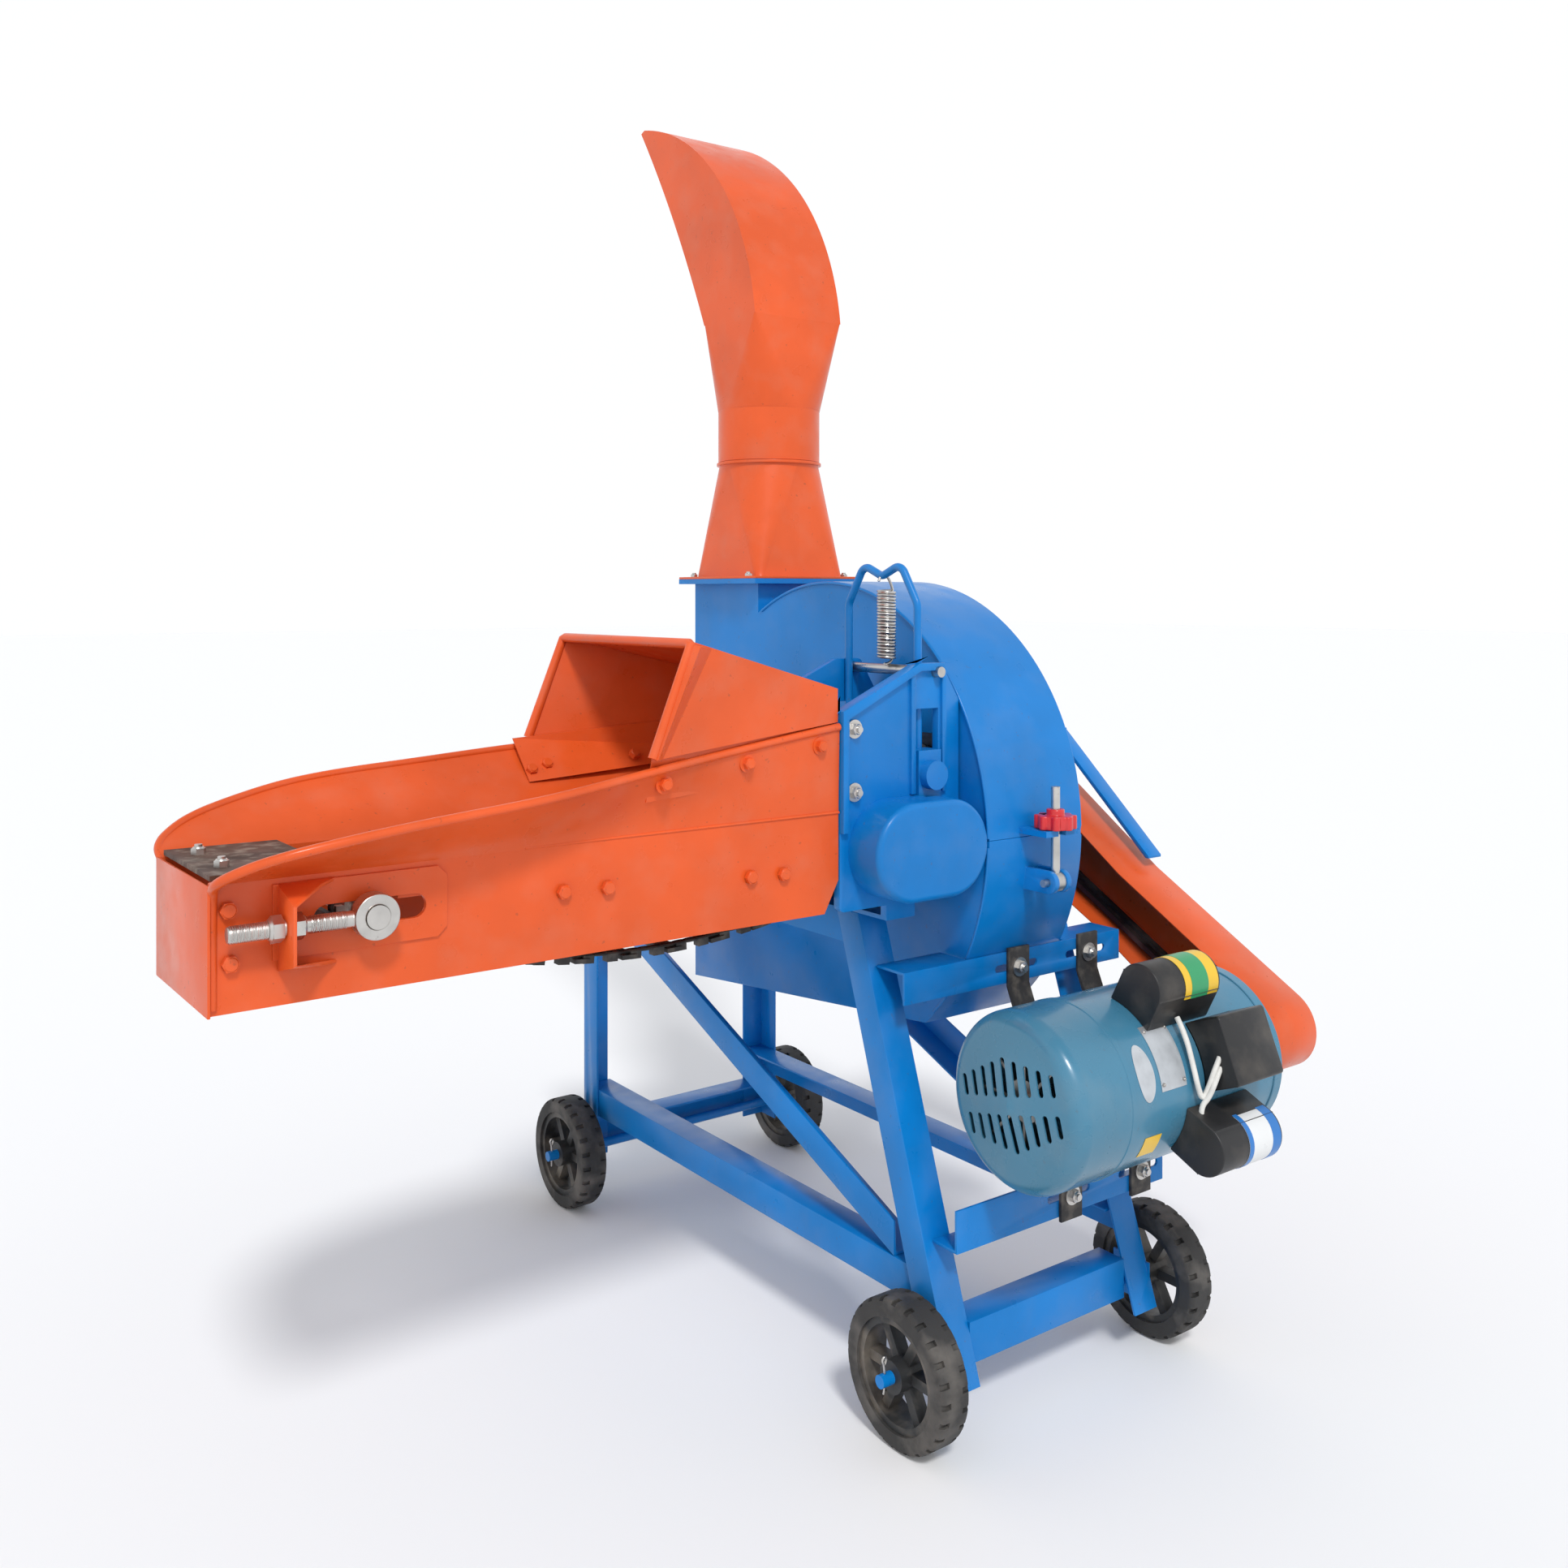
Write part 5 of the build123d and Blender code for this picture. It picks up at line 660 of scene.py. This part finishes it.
# slats and links of the feed chain
CHAIN_TOP = 28.0              # radius of the chain round its shafts
CHAIN_Y = sum(THROAT_Y) / 2
HEAD_X, HEAD_Z, TAIL_X = -196.0, 715.0, -875.0
SAG = 61.0
RUN_STEPS = 40
TURN_STEPS = 12


def chain_path(radius):
    """Points round both shafts with a sagging return run, in millimetres about the wheelbase."""
    points = []
    for start, sign, first_turn, (turn_x, turn_z) in ((0, 1, 90, (HEAD_X, HEAD_Z)),
                                                      (1, -1, 270, (TAIL_X, TAIL_Z))):
        for k in range(RUN_STEPS + 1):
            share = start + sign * k / RUN_STEPS
            drop = 4 * SAG * share * (1 - share) if sign < 0 else 0
            points.append((TAIL_X + (HEAD_X - TAIL_X) * share,
                           TAIL_Z + (HEAD_Z - TAIL_Z) * share + sign * radius - drop))
        for k in range(1, TURN_STEPS):
            turn = math.radians(first_turn - 180 * k / TURN_STEPS)
            points.append((turn_x + radius * math.cos(turn), turn_z + radius * math.sin(turn)))
    return points


def path_mesh(radius, y):
    """Chain path as a closed ring of edges at a given Y."""
    return point_mesh([place(x, y, z) for x, z in chain_path(radius)], ring=True)


SLATS = along_tree("slats", "dark_steel", False)
LINKS = along_tree("links", "dark_steel", True)
slat_mesh = grown("slats", SLATS, path_mesh(CHAIN_TOP + 4.5, CHAIN_Y),
                  {"Pitch": 0.062, "Size": (0.02, 0.148, 0.005)})
feed_slats = add_piece("feed_slats", slat_mesh, "dark_steel", None, ["conveyor_slats"])
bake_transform(feed_slats)
link_meshes = []
for y in (THROAT_Y[0] + 13, THROAT_Y[1] - 13):
    link_meshes.append(grown("links", LINKS, path_mesh(CHAIN_TOP - 1, y),
                             {"Pitch": 0.0155, "Size": (0.021, 0.0085, 1.0), "Wire": 0.0018}))
    link_meshes.append(grown("lugs", SLATS, path_mesh(CHAIN_TOP + 3.5, y),
                             {"Pitch": 0.031, "Size": (0.014, 0.011, 0.009)}))
feed_links = add_piece("feed_chain_links", merged("links", link_meshes), "dark_steel", None,
                       ["conveyor_chains"])
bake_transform(feed_links)

# rim, flanges and fold of the throat hood
MOUTH_FOOT = (-563.0, 855.0)
MOUTH_HEAD = (-513.0, 987.0)
HOOD_Y = (-389.0, -80.0)
mouth = [place(MOUTH_FOOT[0], HOOD_Y[0] + 1, MOUTH_FOOT[1] + 2),
         place(MOUTH_HEAD[0], HOOD_Y[0] + 1, MOUTH_HEAD[1] - 5),
         place(MOUTH_HEAD[0] + 1, HOOD_Y[0] + 7, MOUTH_HEAD[1] - 3),
         place(MOUTH_HEAD[0] + 1, HOOD_Y[1] - 7, MOUTH_HEAD[1] - 3),
         place(MOUTH_HEAD[0], HOOD_Y[1] - 1, MOUTH_HEAD[1] - 5),
         place(MOUTH_FOOT[0], HOOD_Y[1] - 1, MOUTH_FOOT[1] + 2)]
rod("throat_hood_rim", mouth, 6.0, "orange_paint", "machine", smooth=False)


def slab(name, corners, faces):
    """Closed orange piece from corners in millimetres, its normals turned outward."""
    work = bmesh.new()
    made = [work.verts.new(place(*corner)) for corner in corners]
    for face in faces:
        work.faces.new([made[i] for i in face])
    bmesh.ops.recalc_face_normals(work, faces=work.faces)
    return add_piece(name, mesh_of(work, name), "orange_paint", "machine")


BOX_FACES = ((0, 1, 3, 2), (4, 6, 7, 5), (0, 4, 5, 1), (2, 3, 7, 6), (0, 2, 6, 4), (1, 5, 7, 3))
WEDGE_FACES = ((0, 1, 2), (3, 5, 4), (0, 3, 4, 1), (1, 4, 5, 2), (2, 5, 3, 0))
# each flange: label, side of its thickness, top and foot at the mouth, top and foot at the head
FLANGES = (("far", -1, ((-590.0, -90.0, 858.0), (-590.0, -138.0, 808.0)),
            ((-270.0, -176.0, 886.0), (-270.0, -178.0, 834.0))),
           ("near", 1, ((-560.0, -383.0, 860.0), (-560.0, -368.0, 806.0)),
            ((-270.0, -343.0, 884.0), (-270.0, -341.0, 820.0))))
for label, inward, mouth_edge, head_edge in FLANGES:
    slab(f"throat_hood_flange_{label}",
         [(x, y + inward * thick, z) for x, y, z in mouth_edge + head_edge
          for thick in (0.0, 2.0)], BOX_FACES)
slab("throat_hood_fold", [(MOUTH_HEAD[0] - 1, HOOD_Y[0], MOUTH_HEAD[1] - 3),
                          (MOUTH_HEAD[0] + 4, HOOD_Y[0] - 13, MOUTH_HEAD[1] - 6),
                          (MOUTH_HEAD[0] + 30, HOOD_Y[0] + 4, MOUTH_HEAD[1] - 9),
                          (MOUTH_FOOT[0] - 1, HOOD_Y[0], MOUTH_FOOT[1] + 1),
                          (MOUTH_FOOT[0] + 2, HOOD_Y[0] - 7, MOUTH_FOOT[1] + 1),
                          (MOUTH_FOOT[0] + 14, HOOD_Y[0] + 2, MOUTH_FOOT[1] + 1)], WEDGE_FACES)
softened("table_bed", 0.8, 2)

# ---- spring of the upper roller ---------------------------------------------------------
SPRING_X, SPRING_Y = -112.5, -259.5
SPRING_LOW, SPRING_HIGH = 953.0, 1046.0
SPRING_WIRE = 1.9
coil = grown("coil", COIL, point_mesh([(0, 0, 0)]),
             {"Turns": 22.0, "Radius": 0.0115, "Length": (SPRING_HIGH - SPRING_LOW) * MM,
              "Wire": SPRING_WIRE * MM})
coil.transform(Matrix.Translation(place(SPRING_X, SPRING_Y, SPRING_LOW)))
spring = add_piece("pressure_coil", coil, "zinc_plate", None, ["pressure_spring"])
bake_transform(spring)
rod("spring_hook_low", [place(SPRING_X + 11, SPRING_Y, SPRING_LOW + 1),
                        place(SPRING_X + 9, SPRING_Y, SPRING_LOW - 8),
                        place(SPRING_X - 4, SPRING_Y, SPRING_LOW - 8)],
    SPRING_WIRE, "zinc_plate", "machine")
rod("spring_hook_high", [place(SPRING_X + 11, SPRING_Y, SPRING_HIGH),
                         place(SPRING_X + 7, SPRING_Y, SPRING_HIGH + 14),
                         place(SPRING_X - 8, SPRING_Y, SPRING_HIGH + 26),
                         place(SPRING_X - 14, SPRING_Y, SPRING_HIGH + 12)],
    SPRING_WIRE, "zinc_plate", "yoke")

# ---- take-up threads --------------------------------------------------------------------
THREAD_RUNS = ((-1015.0, -978.0), (-940.0, -904.0))
THREAD_PITCH = 2.0
threads = []
for y in EYE_Y:
    for x0, x1 in THREAD_RUNS:
        thread = grown("thread", COIL, point_mesh([(0, 0, 0)]),
                       {"Turns": (x1 - x0) / THREAD_PITCH, "Radius": 0.008,
                        "Length": (x1 - x0) * MM, "Wire": 0.0007})
        thread.transform(Matrix.Translation(place(x0, y, TAIL_Z))
                         @ Matrix.Rotation(math.radians(90), 4, "Y"))
        threads.append(thread)
add_piece("takeup_threads", merged("threads", threads), "zinc_plate", "takeup")

# ---- bolts ------------------------------------------------------------------------------
NEAR = (0, -1, 0)
UP = (0, 0, 1)
table_points = [(x, WALL_NEAR, z) for x, z in (
    (-655, 715), (-600, 713), (-405, 702), (-356, 700), (-1010, 741), (-1008, 690))]
lip_bolts = []
for x in (-542, -418, -302):
    lip_z, out = lip_at(x)[:2]
    lip_bolts.append((x, WALL_NEAR - out * 0.8, lip_z - 18))
hood_bolts = [(-582, -126, 819), (-560, -124, 824), (-448, -150, 832)]
bolts("table_bolts", ((NEAR, 8.5, 7, 0.5, table_points), (NEAR, 7.5, 8, 11, lip_bolts),
                      ((0, -0.75, 0.66), 7.5, 8, 0.5, hood_bolts)),
      BOLTS_ORANGE, "orange_paint", "machine")
strap_rows = [(x, y, z) for x in (25, 163) for y, z in ((-376, 534), (-471, 255.5))]
bed_rows = [(x, -60 + y, 656.5) for x in (164, 262) for y in (-52, 52)]
plate_rows = [(-244, -350, 870), (-244, -350, 790)]
cover_rows = [(x, y, 1066.5) for x in (-70, 126) for y in (130, 290)]
bolts("frame_bolts", ((NEAR, 8.5, 9, 13, strap_rows), (UP, 8.0, 9, 11, bed_rows),
                      (NEAR, 8.0, 9, 12, plate_rows),
                      (UP, 7.5, 8, 11, [(-1002, -302, 772), (-1002, -217, 772)])),
      BOLTS_ZINC, "zinc_plate", "machine", ["fasteners"])
nut_rows = [[(x, y, TAIL_Z) for y in EYE_Y] for x in (BRACKET_X - 2, BRACKET_X + 2)]
bolts("takeup_nuts", (((-1, 0, 0), 13.5, 13, 0.5, nut_rows[0]),
                      ((1, 0, 0), 13.5, 13, 0.5, nut_rows[1])), BOLTS_ZINC, "zinc_plate",
      "machine")
bolts("flange_bolts", ((UP, 6.5, 7, 9, cover_rows),), BOLTS_ZINC, "zinc_plate", "cover")
AXLE_PIN_X, AXLE_PIN_Y, AXLE_Z = 264, 433, 90
# a split pin in metres from the axle: round its eye, then down through the axle
PIN_ROUTE = ((0.0, 0.0, 0.018), (0.004, 0.0, 0.024), (0.0, 0.0, 0.029), (-0.004, 0.0, 0.024),
             (0.0, 0.0, 0.018), (0.0, 0.0, -0.014))
for index, (sx, sy) in enumerate([(sx, sy) for sx in (-1, 1) for sy in (-1, 1)]):
    axle = place(sx * AXLE_PIN_X, sy * AXLE_PIN_Y, AXLE_Z)
    bent_leg = (-0.002 * sx, 0.004, -0.019)
    route = [axle + Vector(offset) for offset in (*PIN_ROUTE, bent_leg)]
    rod(f"split_pin_{index}", route, 1.6, "zinc_plate", "machine", sides=4)

# ---- motor ------------------------------------------------------------------------------
MOTOR = (-535.0, 428.0)       # its middle in Y and Z
MOTOR_R = 108.0


def wrapped_patch(name, x0, x1, turn0, turn1, radius, finish, centre=MOTOR, oval=False,
                  thickness=0.35):
    """Thin film on the round of the motor or a cap, square or oval, as a closed shell."""
    work = bmesh.new()
    cells = 22
    grid = []
    for i in range(cells + 1):
        line = []
        for j in range(cells + 1):
            a, b = 2 * i / cells - 1, 2 * j / cells - 1
            if oval:
                a, b = a * math.sqrt(1 - b * b / 2), b * math.sqrt(1 - a * a / 2)
            x = (x0 + x1) / 2 + a * (x1 - x0) / 2
            turn = math.radians((turn0 + turn1) / 2 + b * (turn1 - turn0) / 2)
            line.append(work.verts.new(place(x, centre[0] - radius * math.cos(turn),
                                             centre[1] + radius * math.sin(turn))))
        grid.append(line)
    for i in range(cells):
        for j in range(cells):
            work.faces.new((grid[i][j], grid[i + 1][j], grid[i + 1][j + 1], grid[i][j + 1]))
    return add_piece(name, thickened(mesh_of(work, name), name, thickness), finish, "machine")


def ring_band(name, x0, x1, radius, thickness, finish):
    """Turned band round the motor with softened corners, as a closed ring."""
    half = thickness / 2
    section = [(x0 + half, radius), (x0, radius + half), (x0 + half, radius + thickness),
               (x1 - half, radius + thickness), (x1, radius + half), (x1 - half, radius)]
    work = bmesh.new()
    steps = 96
    rings = []
    for k in range(steps):
        turn = 2 * math.pi * k / steps
        rings.append([work.verts.new(place(x, MOTOR[0] + r * math.cos(turn),
                                           MOTOR[1] + r * math.sin(turn))) for x, r in section])
    for k in range(steps):
        here, there = rings[k], rings[(k + 1) % steps]
        for i in range(len(section)):
            j = (i + 1) % len(section)
            work.faces.new((here[i], here[j], there[j], there[i]))
    bmesh.ops.recalc_face_normals(work, faces=work.faces)
    return add_piece(name, mesh_of(work, name), finish, "machine")


ring_band("motor_front_band", -62, -52, MOTOR_R - 0.5, 2.4, "teal_enamel")
ring_band("motor_rear_band", 216, 232, MOTOR_R - 0.5, 2.2, "teal_enamel")
wrapped_patch("motor_plate", -6, 40, 8, 50, MOTOR_R + 0.5, "plate_silver", thickness=0.8)
wrapped_patch("motor_oval", -44, -14, 4, 40, MOTOR_R + 0.4, "plate_silver", oval=True)
wrapped_patch("motor_tag", -30, 0, -36, -20, MOTOR_R + 0.4, "film_yellow")

# bands round the capacitors, the sleeved leads and the rivets of the plate
CAP_OUT = 142.0
CAP_R = 32.0
BAND_T = 0.4
# each cap: label, turn round the motor, near end, span round the cap, bands as finish,
# start, end and height above the cap
CAPS = (("upper", 63.0, 4.0, (-25.0, 150.0),
         (("film_yellow", 48, 112, BAND_T), ("film_green", 60, 92, 2 * BAND_T))),
        ("lower", -24.0, 40.0, (-75.0, 95.0),
         (("film_white", 50, 112, BAND_T), ("film_blue", 50, 58, 2 * BAND_T),
          ("film_blue", 96, 112, 2 * BAND_T))))
for label, turn, x0, span, bands in CAPS:
    lift = math.radians(turn)
    centre = (MOTOR[0] - CAP_OUT * math.cos(lift), MOTOR[1] + CAP_OUT * math.sin(lift))
    for index, (finish, start, end, proud) in enumerate(bands):
        wrapped_patch(f"cap_band_{label}_{index}", x0 + start, x0 + end, span[0], span[1],
                      CAP_R + proud, finish, centre=centre, thickness=BAND_T)


def on_motor(x, turn, radius):
    """Point in metres at a turn and radius round the motor."""
    lift = math.radians(turn)
    return place(x, MOTOR[0] - radius * math.cos(lift), MOTOR[1] + radius * math.sin(lift))


LEAD_R = 3.4
rod("lead_upper", [on_motor(52, 47, 122), on_motor(50, 36, 121), on_motor(48, 18, 117),
                   on_motor(52, 4, 116), on_motor(58, -2, 117), on_motor(64, 4, 121),
                   on_motor(66, 14, 132), on_motor(77, 20, 136)],
    LEAD_R, "white_sleeve", "machine", ["motor_leads"])
rod("lead_lower", [on_motor(77, 15, 134), on_motor(68, 10, 132), on_motor(62, 0, 124),
                   on_motor(54, -6, 118), on_motor(52, -11, 122)],
    LEAD_R, "white_sleeve", "machine")
RIVET_OUT = MOTOR_R + 1.3
PLATE_RIVETS = [(x, MOTOR[0] - RIVET_OUT * math.cos(math.radians(turn)),
                 MOTOR[1] + RIVET_OUT * math.sin(math.radians(turn)))
                for x in (-2, 36) for turn in (12, 46)]
bolts("plate_rivets", ((NEAR, 2.0, 1.6, 2.6, PLATE_RIVETS),), BOLTS_ZINC, "zinc_plate",
      "machine")

# ---- beads along the drum ---------------------------------------------------------------
SHAFT = (-60.0, 715.0)        # middle of the drum in Y and Z
DRUM_R = 345.0
DRUM_FRONT, DRUM_BACK = -60.0, 116.0
BEAD_R = 2.4
BEAD_IN = 2.5                 # middle of the bead inside the drum's round


def drum_bead(name, start, end, x, body, steps=48):
    """Bead along the drum's round edge between two turns in degrees."""
    points = []
    for k in range(steps + 1):
        turn = math.radians(start + (end - start) * k / steps)
        points.append(place(x, SHAFT[0] + (DRUM_R - BEAD_IN) * math.cos(turn),
                            SHAFT[1] + (DRUM_R - BEAD_IN) * math.sin(turn)))
    rod(name, points, BEAD_R, "blue_paint", body, smooth=False)


for x, side in ((DRUM_FRONT, "front"), (DRUM_BACK, "back")):
    drum_bead(f"cover_bead_{side}", 61, 179.2, x, "cover")
    drum_bead(f"casing_bead_{side}", 181.2, 226, x, "machine")

# ---- camera, light and floor ------------------------------------------------------------
SENSOR = 36.0
LENS = 32.992547
LENS_SHIFT = -0.120289855     # upright camera, its frame moved down to the machine
YAW = 36.48
EYE = Vector((-1.075, -1.671, 1.0389))    # metres
camera_data = bpy.data.cameras.new("camera")
camera_data.sensor_width = SENSOR
camera_data.lens = LENS
camera_data.shift_y = LENS_SHIFT
camera = bpy.data.objects.new("camera", camera_data)
camera.location = EYE
camera.rotation_euler = (math.radians(90), 0, math.radians(-YAW))
bpy.context.scene.collection.objects.link(camera)
bpy.context.scene.camera = camera

FLOOR = 40.0                  # metres from its middle to each side
FLOOR_WHITE = (0.86, 0.86, 0.86, 1)
floor_mesh = bpy.data.meshes.new("floor")
floor_mesh.from_pydata([(-FLOOR, -FLOOR, 0), (FLOOR, -FLOOR, 0), (FLOOR, FLOOR, 0),
                        (-FLOOR, FLOOR, 0)], [], [(0, 1, 2, 3)])
floor = bpy.data.objects.new("floor", floor_mesh)
bpy.context.scene.collection.objects.link(floor)
floor_finish = bpy.data.materials.new("floor_paper")
floor_finish.use_nodes = True
paper = floor_finish.node_tree.nodes["Principled BSDF"]
paper.inputs["Base Color"].default_value = FLOOR_WHITE
paper.inputs["Roughness"].default_value = 0.9
floor_mesh.materials.append(floor_finish)

SKY_LOW, SKY_HIGH = (0.97, 0.98, 1.0), (0.4, 0.42, 0.46)
SKY_POWER = 1.03
world = bpy.data.worlds.new("studio")
world.use_nodes = True
sky = world.node_tree
direction = sky.nodes.new("ShaderNodeTexCoord")
height = sky.nodes.new("ShaderNodeSeparateXYZ")
sky.links.new(direction.outputs["Generated"], height.inputs[0])
glow = ramp(sky, height, "Z", 0.62, 0.85, SKY_LOW, SKY_HIGH)
sky.links.new(glow.outputs["Color"], sky.nodes["Background"].inputs["Color"])
sky.nodes["Background"].inputs["Strength"].default_value = SKY_POWER
bpy.context.scene.world = world

SUN_TURN = (42.0, 0.0, -24.0)
SUN_POWER = 1.75
SUN_WIDTH = 9.0
sun = bpy.data.lights.new("sun", "SUN")
sun.energy = SUN_POWER
sun.angle = math.radians(SUN_WIDTH)
sun_lamp = bpy.data.objects.new("sun", sun)
sun_lamp.rotation_euler = tuple(math.radians(a) for a in SUN_TURN)
bpy.context.scene.collection.objects.link(sun_lamp)
bpy.context.scene.view_settings.view_transform = "Standard"
